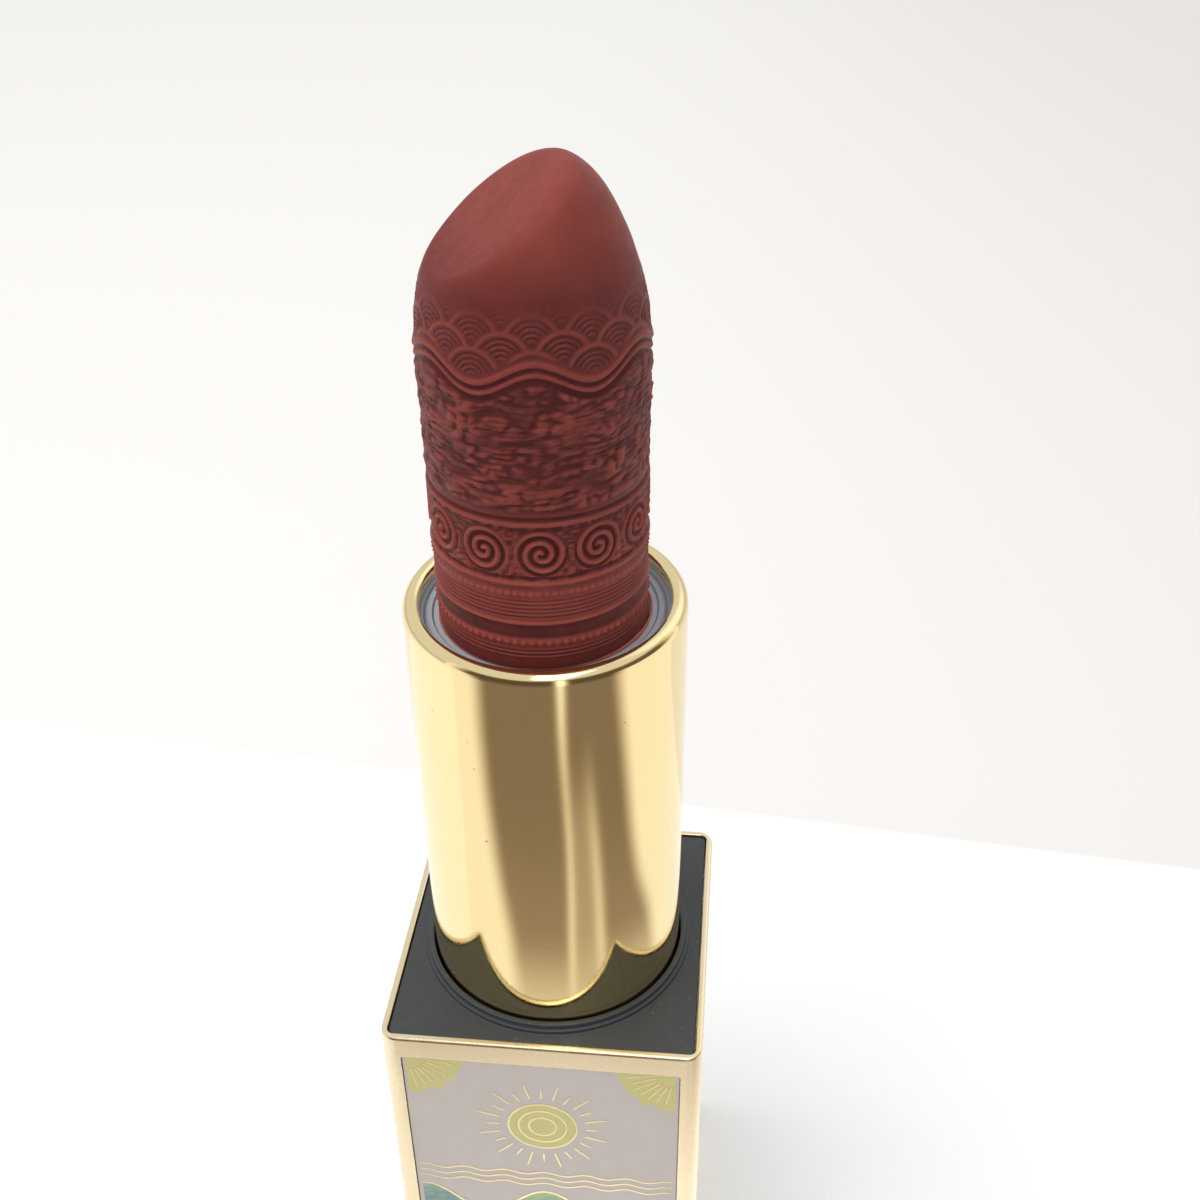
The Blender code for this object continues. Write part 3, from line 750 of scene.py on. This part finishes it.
def spoke(centre, angle, inner, outer):
    """The two ends of a line that points away from a centre."""
    return [polar(centre, reach, angle) for reach in (inner, outer)]


def fan_outline(centre, start, end):
    """Outline of a fan with a scalloped edge; the angles are in degrees."""
    points = [centre]
    for step in range(FAN_LOBES * 8 + 1):
        angle = radians(start + (end - start) * step / (FAN_LOBES * 8))
        points.append(polar(centre, FAN_RADIUS * (0.93 + 0.07 * abs(sin(pi * step / 8))), angle))
    return points


def angle_at(limit, place, radius):
    """Where a circle crosses a limit to its side, in degrees, or its nearest end."""
    return degrees(acos(min(1.0, max(-1.0, (limit - place) / radius))))


def draw_scales(ink):
    """Staggered rows of nested arcs, cut off at the print's edges."""
    for row in range(5):
        for column in range(-3, 3 + (row + 1) % 2):
            place = PRINT_SCALE_PITCH * (column + 0.5 * (row % 2))
            for radius in PRINT_SCALE_RADII:
                start = max(angle_at(PRINT_EDGE, place, radius), 12)
                end = min(angle_at(-PRINT_EDGE, place, radius), 168)
                if end - start > 20:
                    ink.arc((place, PRINT_SCALE_LOW + PRINT_SCALE_STEP * row), radius, start, end, 0.10)


def draw_lines(ink):
    """Gold lines of the print: a sun with rays, veined corner fans, ripples, hill crests and scales."""
    for share in (0.4, 0.7, 1.0):
        outline = circle(SUN, share * SUN_RADIUS)
        ink.strip(outline + [(SUN[0] + share * SUN_RADIUS, SUN[1])], 0.14, steps=1)
    for k in range(SUN_RAYS):
        ink.strip(spoke(SUN, 2 * pi * k / SUN_RAYS, 2.9, 4.5 if k % 2 else 3.8), 0.16, 0.6)
    for centre, start, end in FANS:
        for k in range(1, 2 * FAN_LOBES):
            angle = radians(start + (end - start) * k / (2 * FAN_LOBES))
            ink.strip(spoke(centre, angle, 0.35 * FAN_RADIUS, 0.86 * FAN_RADIUS), 0.09)
    for k in range(3):
        ink.strip(wavy(RIPPLE_TOP - RIPPLE_STEP * k, RIPPLE_SWING, pitch=RIPPLE_PITCH), 0.13)
    for hill in HILLS:
        ink.strip(wavy(*hill), 0.18)
    draw_scales(ink)


def draw_patches(ink):
    """Coloured patches of the print: corner fans, the sun's disc and the band of hills."""
    for fan in FANS:
        ink.patch(fan_outline(*fan))
    ink.patch(circle(SUN, SUN_RADIUS))
    ink.patch(wavy(*HILLS[0]) + wavy(*HILLS[1])[::-1])


def build_art(side, gold_ink, colour_ink):
    """The print's coloured patches and, a little prouder, its gold lines."""
    for kind, lift, draw, material in (
        ("_colours", PATCH_LIFT, draw_patches, colour_ink),
        ("_gold_lines", LINE_LIFT, draw_lines, gold_ink),
    ):
        ink = Print(lift)
        draw(ink)
        ink.build("panel_" + side + kind, side, material)


# ---------------------------------------------------------------- sleeve


def build_sleeve(material):
    """Bright gold tube whose top is rolled inwards."""
    bore = SLEEVE_RADIUS - SLEEVE_WALL
    lip_low = RIM_TOP - RIM_DEPTH
    profile = [(SLEEVE_RADIUS, SLEEVE_FOOT)]
    profile += rounded(SLEEVE_RADIUS, -1, RIM_TOP, RIM_OUTER_ROUNDING, 18)
    profile += list(reversed(rounded(RIM_BORE, 1, RIM_TOP, RIM_INNER_ROUNDING, 12)))[1:]
    profile += [(RIM_BORE, lip_low), (bore, lip_low), (bore, SLEEVE_FOOT)]
    loops = [ring(radius, height) for radius, height in profile]
    sleeve = skin("outer_sleeve_gold", loops, closed=True)
    weighted_normals(sleeve)
    add_piece(sleeve, "sleeve", "mirror_gold", material, "outer_sleeve")


# ---------------------------------------------------------------- bullet


def bullet_top(x, y):
    """Height of the bullet's top over a point: dome and slanted cut, blended where they meet."""
    share = np.clip(np.hypot(x, y) / BULLET_RADIUS, 0.0, 1.0)
    dome = DOME_START + DOME_HEIGHT * (1 - share**DOME_SIDE_POWER) ** (1 / DOME_TOP_POWER)
    outward = x * cos(CUT_FACING) + y * sin(CUT_FACING)
    plane = CUT_AXIS_HEIGHT - outward * np.tan(CUT_TILT)
    blend = np.clip(0.5 + 0.5 * (plane - dome) / CUT_BLEND, 0.0, 1.0)
    return plane * (1 - blend) + dome * blend - CUT_BLEND * blend * (1 - blend)


def bullet_grid():
    """Smooth bullet surface as arrays of x, y and z, with rows from the foot to the pole."""
    azimuth = np.arange(BULLET_COLUMNS) / BULLET_COLUMNS * 2 * pi
    side_low = BULLET_FOOT_TOP + 0.4
    side_rows = int(round((DOME_START - side_low) / BULLET_ROW_STEP)) + 1
    rows = []
    profile = [(BULLET_FOOT_RADIUS, bullet_low.z), (BULLET_FOOT_RADIUS, BULLET_FOOT_TOP)]
    profile += [(BULLET_RADIUS, height) for height in np.linspace(side_low, DOME_START, side_rows)]
    for radius, height in profile:
        rows.append((radius * np.cos(azimuth), radius * np.sin(azimuth), np.full_like(azimuth, height)))
    for step in range(1, BULLET_DOME_ROWS):
        rise = step / BULLET_DOME_ROWS * pi / 2
        near, far = np.zeros_like(azimuth), np.full_like(azimuth, 2 * DOME_HEIGHT)
        for _ in range(40):
            middle = (near + far) / 2
            x = middle * cos(rise) * np.cos(azimuth)
            y = middle * cos(rise) * np.sin(azimuth)
            z = DOME_START + middle * sin(rise)
            inside = (np.hypot(x, y) < BULLET_RADIUS) & (z < bullet_top(x, y))
            near = np.where(inside, middle, near)
            far = np.where(inside, far, middle)
        rows.append((x, y, z))
    return (np.array([row[axis] for row in rows]) for axis in range(3))


def smooth_path(points, steps):
    """Points along a smooth curve through a few others."""
    ends = [points[0], *points, points[-1]]
    path = []
    for i in range(1, len(ends) - 2):
        a, b, c, d = (np.array(ends[i + k], float) for k in (-1, 0, 1, 2))
        for step in range(steps):
            t = step / steps
            square, cube = 2 * a - 5 * b + 4 * c - d, 3 * b - a - 3 * c + d
            path.append(0.5 * (2 * b + (c - a) * t + square * t**2 + cube * t**3))
    path.append(np.array(points[-1], float))
    return path


def add_lines(relief, distance, lines, clear_to):
    """Swap the relief beside a line for parallel ridges and grooves: (place, width, height) each."""
    clear = np.exp(-((distance / clear_to) ** 6))
    profile = sum(height * bump_at(distance - place, width) for place, width, height in lines)
    return relief * (1 - clear) + profile


def step_up(value, low, high):
    """Smooth step from 0 at low to 1 at high."""
    t = np.clip((value - low) / (high - low), 0.0, 1.0)
    return t * t * (3 - 2 * t)


def bump_at(distance, width):
    """Bell shape across a ridge."""
    return np.exp(-((distance / width) ** 2))


def lattice_noise(u, v, cell_u, cell_v, seed):
    """Smooth random values from -1 to 1 that repeat with the pattern."""
    count = round(PATTERN_WIDTH / cell_u)
    rows = int(40 / cell_v) + 4
    grid = np.random.default_rng(seed).uniform(-1, 1, (rows, count))
    a = (u / PATTERN_WIDTH + 0.5) * count
    b = (v + 5) / cell_v
    i, j = np.floor(a).astype(int), np.floor(b).astype(int)
    s, t = step_up(a - i, 0, 1), step_up(b - j, 0, 1)
    low = grid[j, i % count] * (1 - s) + grid[j, (i + 1) % count] * s
    high = grid[j + 1, i % count] * (1 - s) + grid[j + 1, (i + 1) % count] * s
    return low * (1 - t) + high * t


def repeat(u, count, shift=0.0):
    """How far a place lies from the middle of its repeat, and that repeat's number."""
    width = 2 * PATTERN_WIDTH / count
    number = np.floor(u / width - shift + 0.5)
    return u - (number + shift) * width, number


def petals(u, v):
    """Scattered clusters of short petals, as a height from 0 to 1."""
    random = np.random.default_rng(11)
    height = np.zeros_like(u)
    for _ in range(PETAL_CLUSTERS):
        cu = random.uniform(-PATTERN_WIDTH, PATTERN_WIDTH)
        cv = random.uniform(GROUND_LOW + 0.6, WAVE_HEIGHT - 1.2)
        start = random.uniform(0, 2 * pi)
        for k in range(random.integers(2, 5)):
            angle = start + 0.75 * k + random.uniform(-0.25, 0.25)
            length = random.uniform(0.32, 0.60)
            off_u = u - cu - cos(angle) * length * 1.25
            off_v = v - cv - sin(angle) * length * 0.85
            along = off_u * cos(angle) + off_v * sin(angle)
            across = -off_u * sin(angle) + off_v * cos(angle)
            petal = np.exp(-((along / length) ** 4) - (across / (length * 0.40)) ** 2)
            height = np.maximum(height, petal)
    return height


def scales(u, v):
    """Staggered rows of round scales, lower rows in front: height, and the phase and mask of their lines."""
    height, phase, mask = (np.zeros_like(u) for _ in range(3))
    for row in reversed(range(SCALE_ROWS)):
        across, _ = repeat(u, SCALE_COUNT, 0.5 * (row % 2))
        radius = np.hypot(across, v - SCALE_LOW - 0.55 * SCALE_RADIUS * row)
        inside = radius < SCALE_RADIUS
        height = np.where(inside, 0.0, height) + 0.07 * bump_at(radius - SCALE_RADIUS + 0.12, 0.10)
        phase = np.where(inside, radius / LINE_PITCH, phase)
        lined = (1 - step_up(radius, SCALE_RADIUS - 0.42, SCALE_RADIUS - 0.25)) * step_up(radius, 0.1, 0.3)
        mask = mask * step_up(radius, SCALE_RADIUS + 0.05, SCALE_RADIUS + 0.2) + lined
    return height, phase, mask


def scrolls(u, v):
    """A row of spirals that turn left and right by turns: height, and a mask for the field round them."""
    across, number = repeat(u, SCROLL_COUNT)
    across = across * np.where(number % 2 == 0, 1.0, -1.0)
    rise = v - SCROLL_HEIGHT
    radius = np.hypot(across, rise)
    turns = radius / SCROLL_PITCH - np.arctan2(rise, across) / (2 * pi)
    disc = 1 - step_up(radius, SCROLL_RADIUS - 0.12, SCROLL_RADIUS + 0.04)
    return 0.13 * np.cos(2 * pi * turns) * disc, step_up(radius, SCROLL_RADIUS, SCROLL_RADIUS + 0.15)


def beads(u, v, height, spacing):
    """One row of small round beads."""
    count = round(PATTERN_WIDTH / spacing)
    phase = (u / PATTERN_WIDTH * count) % 1.0 - 0.5
    return np.exp(-(np.hypot(phase * spacing, v - height) / (spacing * 0.3)) ** 2)


def relief_place(points):
    """How far across and how high points on the bullet's surface lie, and the way round to them."""
    right = PATTERN_MIDDLE + pi / 2
    across = points[..., 0] * cos(right) + points[..., 1] * sin(right)
    ahead = points[..., 0] * cos(PATTERN_MIDDLE) + points[..., 1] * sin(PATTERN_MIDDLE)
    u = BULLET_RADIUS * np.arcsin(np.clip(across / BULLET_RADIUS, -1.0, 1.0))
    return u, points[..., 2] - RIM_TOP, BULLET_RADIUS * np.arctan2(across, ahead)


def rough_texture(u, v):
    """Layered slivers, lumps and petals of the coarsely carved ground, in millimetres."""
    drift = 0.16 * lattice_noise(u, v, 1.9, 1.1, 1)
    slivers = lattice_noise(u, v + drift, 0.85, 0.150, 2)
    slivers = np.sign(slivers) * np.abs(slivers) ** 0.75
    slivers = slivers + 0.8 * lattice_noise(u + 0.3 * v, v + drift, 1.3, 0.21, 12)
    hatch = np.cos(2 * pi * (v + drift) / 0.24) * step_up(lattice_noise(u, v, 1.1, 0.8, 5), 0.0, 0.5)
    lumps = np.abs(lattice_noise(u - 0.2 * v, v + 2 * drift, 0.70, 0.38, 3)) ** 0.7
    mounds = lattice_noise(u, v, 1.7, 1.0, 6)
    fine = lattice_noise(u, v, 0.26, 0.13, 4)
    texture = 0.032 * slivers + 0.016 * hatch + 0.125 * (lumps - 0.45) + 0.062 * mounds + 0.026 * fine
    return texture + 0.11 * petals(u, v)


def pebbles(u, v):
    """Small round pebbles, in millimetres."""
    grains = np.abs(lattice_noise(u, v, 0.33, 0.27, 7)) ** 0.6
    return 0.12 * (grains - 0.5) + 0.03 * lattice_noise(u, v, 0.2, 0.14, 8)


def bullet_relief(u, v):
    """The carving: its height in millimetres, the wax's painted shade and highlight, and what the wax shader
    needs to add the finest lines.
    """
    wave = v - WAVE_HEIGHT - WAVE_SWING * np.cos(pi * u * WAVE_COUNT / PATTERN_WIDTH)
    ground = step_up(v, GROUND_LOW, GROUND_LOW + 0.3) * step_up(-wave, 0.40, 0.75)
    relief = ground * (rough_texture(u, v) + 0.045)

    # Scales above the wavy border, fading into the smooth top
    scale_height, phase, scale_mask = scales(u, v)
    scale_zone = step_up(wave, 0.7, 1.0) * (1 - step_up(v, *SCALE_FADE))
    relief = relief + scale_height * scale_zone
    relief = add_lines(relief, wave, BORDER_LINES, BORDER_CLEAR)

    # Spirals on a pebbled field between two plain ridges
    scroll_low, scroll_high = SCROLL_BORDERS
    scroll_zone = step_up(v, scroll_low, scroll_low + 0.2) * (1 - step_up(v, scroll_high - 0.2, scroll_high))
    scroll_height, field = scrolls(u, v)
    relief = relief + scroll_zone * (scroll_height + field * pebbles(u, v))
    for height in SCROLL_BORDERS:
        relief = relief + 0.13 * bump_at(v - height, 0.12) - 0.09 * bump_at(v - height - 0.28, 0.10)

    # Beads, fine lines and a plain channel at the foot
    for height, spacing, rise in BEAD_ROWS:
        relief = relief + rise * beads(u, v, height, spacing)
    relief = relief + 0.11 * bump_at(v - 2.25, 0.10)
    relief = relief - 0.08 * step_up(v, 1.15, 1.3) * (1 - step_up(v, 2.0, 2.12))
    line_zone = sum(step_up(v, a, b) * (1 - step_up(v, c, d)) for a, b, c, d in FOOT_LINES)
    phase = np.where(v < GROUND_LOW, v / FOOT_LINE_PITCH, phase)
    mask = line_zone + scale_mask * scale_zone
    relief = relief + 0.040 * mask * np.cos(2 * pi * phase)

    # Broad, faint waviness everywhere, as hand-carved wax has
    relief = relief + 0.012 * lattice_noise(u, v, 1.4, 1.1, 9) * step_up(25.0 - v, 0.0, 4.0)
    shown = step_up(v, -0.9, -0.4)
    relief = relief * shown
    rough = np.clip(ground + 0.5 * field * scroll_zone, 0, 1)
    # The second value is painted shade for the wax's colour, made darker still on the rough ground
    return relief, wax_painted_shade(relief, v, 0.20 * rough), phase, mask * shown, rough * shown


def wax_painted_shade(relief, v, shade):
    """How deep the wax lies against what surrounds it, less a painted shade by height and roughness: the
    shader paints shade where this is low and a highlight where it is high.
    """
    around = relief.copy()
    for axis, reach in ((0, 4), (1, 3)):
        around = sum(np.roll(around, step, axis=axis) for step in range(-reach, reach + 1)) / (2 * reach + 1)
    lower = np.interp(v, WAX_PAINTED_SHADE_HEIGHTS, WAX_PAINTED_SHADE) + shade
    return relief / np.interp(v, (4.0, 8.0), (0.15, 0.32)) + (relief - around) / 0.19 - lower


def build_bullet(material):
    """The carved bullet: a smooth bullet moved along its normals by the relief."""
    x, y, z = bullet_grid()
    rows, columns = x.shape
    points = np.stack([x, y, z], axis=-1)
    along = np.roll(points, -1, axis=1) - np.roll(points, 1, axis=1)
    up = np.gradient(points, axis=0)
    normal = np.cross(along, up)
    normal /= np.linalg.norm(normal, axis=-1, keepdims=True) + 1e-12
    u, v, around = relief_place(points)
    relief, depth, phase, mask, rough = bullet_relief(around, v)
    fuller = np.where(u < 0, 0.16, 0.30) * bump_at(v - 18.5, 4.5) * np.clip(np.abs(u) / 7.0, 0.0, 1.0)
    points = points + normal * (relief + fuller)[..., None]
    clear_of_cup = step_up(v, -1.12, -0.75)
    points[..., 0] -= (BULLET_LEAN_FOOT + BULLET_LEAN_RATE * v) * clear_of_cup
    points[..., 1] -= BULLET_FOOT_FORWARD * clear_of_cup * (1 - step_up(v, 1.0, 12.0))
    vertices = [tuple(p) for p in points.reshape(-1, 3)]
    pole = float(bullet_top(0.0, 0.0))
    lean = BULLET_LEAN_FOOT + BULLET_LEAN_RATE * (pole - RIM_TOP)
    vertices += [(-lean, 0.0, pole), (0.0, 0.0, bullet_low.z)]
    last = (rows - 1) * columns
    faces = []
    for row in range(rows - 1):
        faces += band(row * columns, (row + 1) * columns, columns)
    for column in range(columns):
        following = (column + 1) % columns
        faces.append((last + column, last + following, rows * columns))
        faces.append((following, column, rows * columns + 1))
    bullet = make_object("bullet_wax", vertices, faces, sharp_angle=radians(75))
    # The 'relief' attribute carries the wax's painted shade and highlight, not the carving's height
    for name, values in (("relief", depth), ("phase", phase), ("lines", mask), ("rough", rough)):
        set_attribute(bullet, name, np.append(values.ravel(), (0.0, 0.0)))
    add_piece(bullet, "carrier", "lipstick_wax", material, "bullet")


def build_smear(material):
    """Thin uneven bead of wax round the bullet's foot, on the edge of the cup."""
    loops = []
    for step in range(SMEAR_STEPS):
        azimuth = 2 * pi * step / SMEAR_STEPS
        size = 0.07 + 0.010 * sin(11 * azimuth) + 0.008 * sin(29 * azimuth + 2.0)
        for thickest, extra in SMEAR_THICKEST:
            size += extra * exp(-8 * (1 - cos(azimuth - thickest)))
        loop = []
        for corner in range(10):
            angle = 2 * pi * corner / 10
            radius = SMEAR_RADIUS + size * cos(angle)
            height = cup_high.z + size * (0.9 + sin(angle))
            loop.append((radius * cos(azimuth), radius * sin(azimuth), height))
        loops.append(loop)
    add_piece(skin("bullet_smear", loops, closed=True), "carrier", "lipstick_wax", material)


# ---------------------------------------------------------------- stage


def floor_material():
    """White table top that meets an off-white tone along one straight line behind the object; the tone's
    glow dims to the right as painted shade.
    """
    shader = Shader("pale_floor", roughness=0.7, specular_ior_level=0.0, emission_strength=1.0)
    place = shader.place
    across = shader.node("VectorRotate", vector=place, rotation_type="Z_AXIS", angle=-WALL_TURN)
    distance = shader.node("SeparateXYZ", output=1, inputs=((0, across),))
    beyond = shader.remap(distance, (WALL_DISTANCE - 0.4) * MM, (WALL_DISTANCE + 0.4) * MM, 0.0, 1.0)
    colour = shader.mix(beyond, (0.78, 0.78, 0.78), (0.40, 0.395, 0.385))
    # Painted shade: the off-white tone glows less towards the right
    sideways = shader.node("SeparateXYZ", output=0, inputs=((0, place),))
    painted_shade_rightward = shader.remap(sideways, -0.06, 0.16, 0.0, 1.0)
    wall_glow_painted_shade = shader.mix(painted_shade_rightward, (0.55, 0.53, 0.505), (0.45, 0.425, 0.41))
    glow = shader.mix(beyond, (0.20, 0.20, 0.195), wall_glow_painted_shade)
    shader.paint(base_color=colour, emission_color=glow)
    return shader.material


def build_floor():
    corners = [(x * FLOOR_HALF, y * FLOOR_HALF, 0) for x, y in ((-1, -1), (1, -1), (1, 1), (-1, 1))]
    floor = make_object("floor", corners, [(0, 1, 2, 3)], smooth=False)
    set_material(floor, floor_material())


# Soft grey light and shade just above the table in front, which only the gold reflects. The dark part lies
# between two azimuths, in degrees, at each of these distances from the case's axis.
SHADE_DISTANCES = (14, 34, 44, 50, 57, 65, 75, 84, 150, 420)
SHADE_LEFT = (250, 245, 240, 233, 228, 224, 222, 222, 222, 222)
SHADE_RIGHT = (378, 372, 362, 350, 344, 341, 337, 334, 332, 330)
SHADE_LEVEL = (1.50, 0.90, 0.31, 0.285, 0.245, 0.23, 0.225, 0.225, 0.16, 0.10)
STRIPE_PLACE = (289, 289, 289, 290, 290, 288.5, 287, 287, 287, 287)
STRIPE_LEVEL = (0.0, 0.0, 0.43, 0.40, 0.38, 0.42, 0.60, 0.85, 1.3, 1.6)
SECOND_PLACE = (316, 315, 314, 313, 311, 308, 306, 305, 305, 305)
SECOND_LEVEL = (0.0, 0.0, 0.35, 0.32, 0.28, 0.15, 0.0, 0.0, 0.0, 0.0)
SHADE_FROM = 200
SHADE_TO = 392
SHADE_HEIGHT = 0.3
SHADE_SOFTNESS = 9.0
HIGHLIGHT_LEFT = -30
HIGHLIGHT_RIGHT = 150
HIGHLIGHT_LOW = (-360, 420)
HIGHLIGHT_HIGH = (0, 480)
HIGHLIGHT_STRENGTH = 3.2
SHADE_WALL_HEIGHTS = (10, 30, 60, 120, 180, 240, 280, 320, 360, 400)
SHADE_WALL_FADE = (240, 400)


def shade_radiance(distance, azimuth, height):
    """Brightness of the reflected table, or of the dim room beyond it, at a place in front of the case."""
    def at(values):
        return np.interp(distance, SHADE_DISTANCES, values)

    left, right = (at(side) for side in (SHADE_LEFT, SHADE_RIGHT))
    inside = step_up(azimuth, left - SHADE_SOFTNESS, left + SHADE_SOFTNESS)
    inside = inside * (1 - step_up(azimuth, right - SHADE_SOFTNESS, right + SHADE_SOFTNESS))
    level = at(SHADE_LEVEL) + at(STRIPE_LEVEL) * bump_at(azimuth - at(STRIPE_PLACE), 3.6)
    level = level + at(SECOND_LEVEL) * bump_at(azimuth - at(SECOND_PLACE), 5.0)
    second = at(SECOND_PLACE)
    between = step_up(azimuth, 286.0, 292.0) * (1 - step_up(azimuth, second - 2, second + 6))
    level = level + 0.16 * between * (1 - step_up(distance, 58.0, 72.0)) * step_up(distance, 38.0, 44.0)
    dim = step_up(height, 10.0, 60.0) * step_up(azimuth, SHADE_FROM, 222.0)
    dim = dim * (1 - step_up(azimuth, 366.0, SHADE_TO))
    return level * inside + (1.05 - 0.92 * dim) * (1 - inside)


def only_reflected(obj):
    """Light up an object that only reflections show; return its emission node, its nodes and its links."""
    obj.visible_camera = False
    obj.visible_diffuse = False
    obj.visible_shadow = False
    material = bpy.data.materials.new(obj.name)
    material.use_nodes = True
    nodes, links = material.node_tree.nodes, material.node_tree.links
    nodes.clear()
    emission = nodes.new("ShaderNodeEmission")
    output = nodes.new("ShaderNodeOutputMaterial")
    links.new(emission.outputs[0], output.inputs["Surface"])
    set_material(obj, material)
    return emission, nodes, links


def build_shade():
    """Polar sheet just above the table, turned up far in front, that only the gold reflects."""
    azimuths = np.arange(SHADE_FROM, SHADE_TO + 1, 2.0)
    distances = np.concatenate([np.arange(11.5, 90.0, 2.0), np.geomspace(92.0, 420.0, 14)])
    vertices, radiance = [], []
    rows = [(distance, SHADE_HEIGHT) for distance in distances]
    rows += [(SHADE_DISTANCES[-1], height) for height in SHADE_WALL_HEIGHTS]
    for distance, height in rows:
        open_sky = step_up(height, *SHADE_WALL_FADE)
        for azimuth in azimuths:
            angle = radians(azimuth)
            vertices.append((distance * cos(angle), distance * sin(angle), height))
            level = shade_radiance(distance, azimuth, height)
            radiance.append(level + (WORLD_STRENGTH - level) * open_sky)
    count = len(azimuths)
    faces = []
    for row in range(len(rows) - 1):
        for column in range(count - 1):
            first = row * count + column
            faces.append((first, first + count, first + count + 1, first + 1))
    sheet = make_object("reflected_shade", vertices, faces, smooth=False)
    set_attribute(sheet, "radiance", radiance)
    emission, nodes, links = only_reflected(sheet)
    reader = nodes.new("ShaderNodeAttribute")
    reader.attribute_name = "radiance"
    tone = nodes.new("ShaderNodeMix")
    tone.data_type = "RGBA"
    tone.inputs[6].default_value = (1.12, 0.84, 0.62, 1.0)
    tone.inputs[7].default_value = (1.0, 0.985, 0.96, 1.0)
    links.new(reader.outputs["Fac"], tone.inputs[0])
    links.new(tone.outputs[2], emission.inputs["Color"])
    links.new(reader.outputs["Fac"], emission.inputs["Strength"])


def build_key_light():
    """One square soft light overhead on the left, which leaves no streak in the gold."""
    light = bpy.data.lights.new("key", "AREA")
    light.size = KEY_SIZE * MM
    light.energy = KEY_POWER
    obj = bpy.data.objects.new("key", light)
    obj.location = Vector(KEY_PLACE) * MM
    obj.rotation_mode = "QUATERNION"
    obj.rotation_quaternion = (Vector(KEY_AIM) - Vector(KEY_PLACE)).to_track_quat("-Z", "Y")
    obj.visible_glossy = False
    bpy.context.scene.collection.objects.link(obj)


def build_highlight():
    """A bright window overhead in front, which only glossy surfaces reflect."""
    ends = (
        (HIGHLIGHT_LEFT, HIGHLIGHT_LOW), (HIGHLIGHT_RIGHT, HIGHLIGHT_LOW),
        (HIGHLIGHT_RIGHT, HIGHLIGHT_HIGH), (HIGHLIGHT_LEFT, HIGHLIGHT_HIGH),
    )
    corners = [(x, y, z) for x, (y, z) in ends]
    window = make_object("window", corners, [(0, 1, 2, 3)], smooth=False)
    emission = only_reflected(window)[0]
    emission.inputs["Strength"].default_value = HIGHLIGHT_STRENGTH


def build_world():
    """Soft studio light: dimmer near the horizon, with a brighter area behind on the right."""
    world = bpy.data.worlds.new("studio")
    world.use_nodes = True
    nodes, links = world.node_tree.nodes, world.node_tree.links
    background = nodes["Background"]
    background.inputs["Color"].default_value = (0.97, 0.98, 1.0, 1.0)
    direction = nodes.new("ShaderNodeTexCoord").outputs["Generated"]
    strengths = []
    for towards, low, high, dim, bright in (
        ((0.0, 0.0, 1.0), 0.04, 0.36, 0.60, WORLD_STRENGTH),
        ((0.50, 0.62, 0.60), 0.86, 0.99, 0.0, 0.45),
    ):
        dot = nodes.new("ShaderNodeVectorMath")
        dot.operation = "DOT_PRODUCT"
        dot.inputs[1].default_value = towards
        links.new(direction, dot.inputs[0])
        ramp = nodes.new("ShaderNodeMapRange")
        ramp.interpolation_type = "SMOOTHSTEP"
        for index, value in ((1, low), (2, high), (3, dim), (4, bright)):
            ramp.inputs[index].default_value = value
        links.new(dot.outputs["Value"], ramp.inputs[0])
        strengths.append(ramp.outputs[0])
    total = nodes.new("ShaderNodeMath")
    for index, strength in enumerate(strengths):
        links.new(strength, total.inputs[index])
    links.new(total.outputs[0], background.inputs["Strength"])
    bpy.context.scene.world = world


def build_camera():
    data = bpy.data.cameras.new("camera")
    data.lens = CAMERA_LENS
    data.sensor_width = CAMERA_SENSOR
    data.clip_start = 0.001
    data.clip_end = 20.0
    camera = bpy.data.objects.new("camera", data)
    bpy.context.scene.collection.objects.link(camera)
    camera.rotation_mode = "QUATERNION"
    camera.location = CAMERA_PLACE * MM
    turn = (CAMERA_AIM - CAMERA_PLACE).to_track_quat("-Z", "Y")
    camera.rotation_quaternion = turn @ Quaternion((0, 0, 1), CAMERA_ROLL)
    bpy.context.scene.camera = camera


def build_stage():
    build_world()
    build_floor()
    build_shade()
    build_highlight()
    build_key_light()
    build_camera()
    view = bpy.context.scene.view_settings
    view.view_transform = "Standard"


# ---------------------------------------------------------------- all together


def dress_cad_nodes():
    """Give the carried-over CAD nodes their finishes."""
    finishes = {
        "base_insert": matt_black("insert_plastic", (0.040, 0.040, 0.045), 0.5),
        "base_weight": moulded("zinc_plated_steel", (0.56, 0.57, 0.58), 0.33, metallic=1.0),
        "bottom_plate": matt_black("bottom_plastic", (0.045, 0.048, 0.052), 0.45),
        "shade_label": moulded("label_film", (0.75, 0.72, 0.68), 0.5),
        # Painted shade and light: these pale plastics are given grey colours for the shade inside the
        # sleeve's rim, and a glow that lifts the gaps between them
        "inner_body": moulded("white_acetal", (0.32, 0.33, 0.36), 0.42, glow=0.07),
        "drag_ring": moulded("silicone", (0.35, 0.35, 0.36), 0.6),
        "cam_sleeve": moulded("frosted_plastic", (0.30, 0.315, 0.35), 0.46, glow=0.07),
        "bullet_cup": moulded("cup_acetal_painted_shade_and_glow", (0.32, 0.33, 0.36), 0.42, glow=0.07),
    }
    for node, material in finishes.items():
        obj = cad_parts[node]
        set_material(obj, material)
        obj.data.shade_smooth()
        obj.data.set_sharp_from_angle(angle=radians(32))


def main():
    build_shell(satin_gold())
    build_plate(matt_black("black_plastic", (0.050, 0.054, 0.056), 0.45))
    panel_print = printed_panel()
    gold_ink = print_gold()
    colour_ink = print_colours()
    for side in PANEL_TURNS:
        build_panel(side, panel_print)
        build_art(side, gold_ink, colour_ink)
    build_sleeve(mirror_gold())
    build_bullet(lipstick_wax())
    build_smear(smeared_wax())
    dress_cad_nodes()
    build_stage()


main()
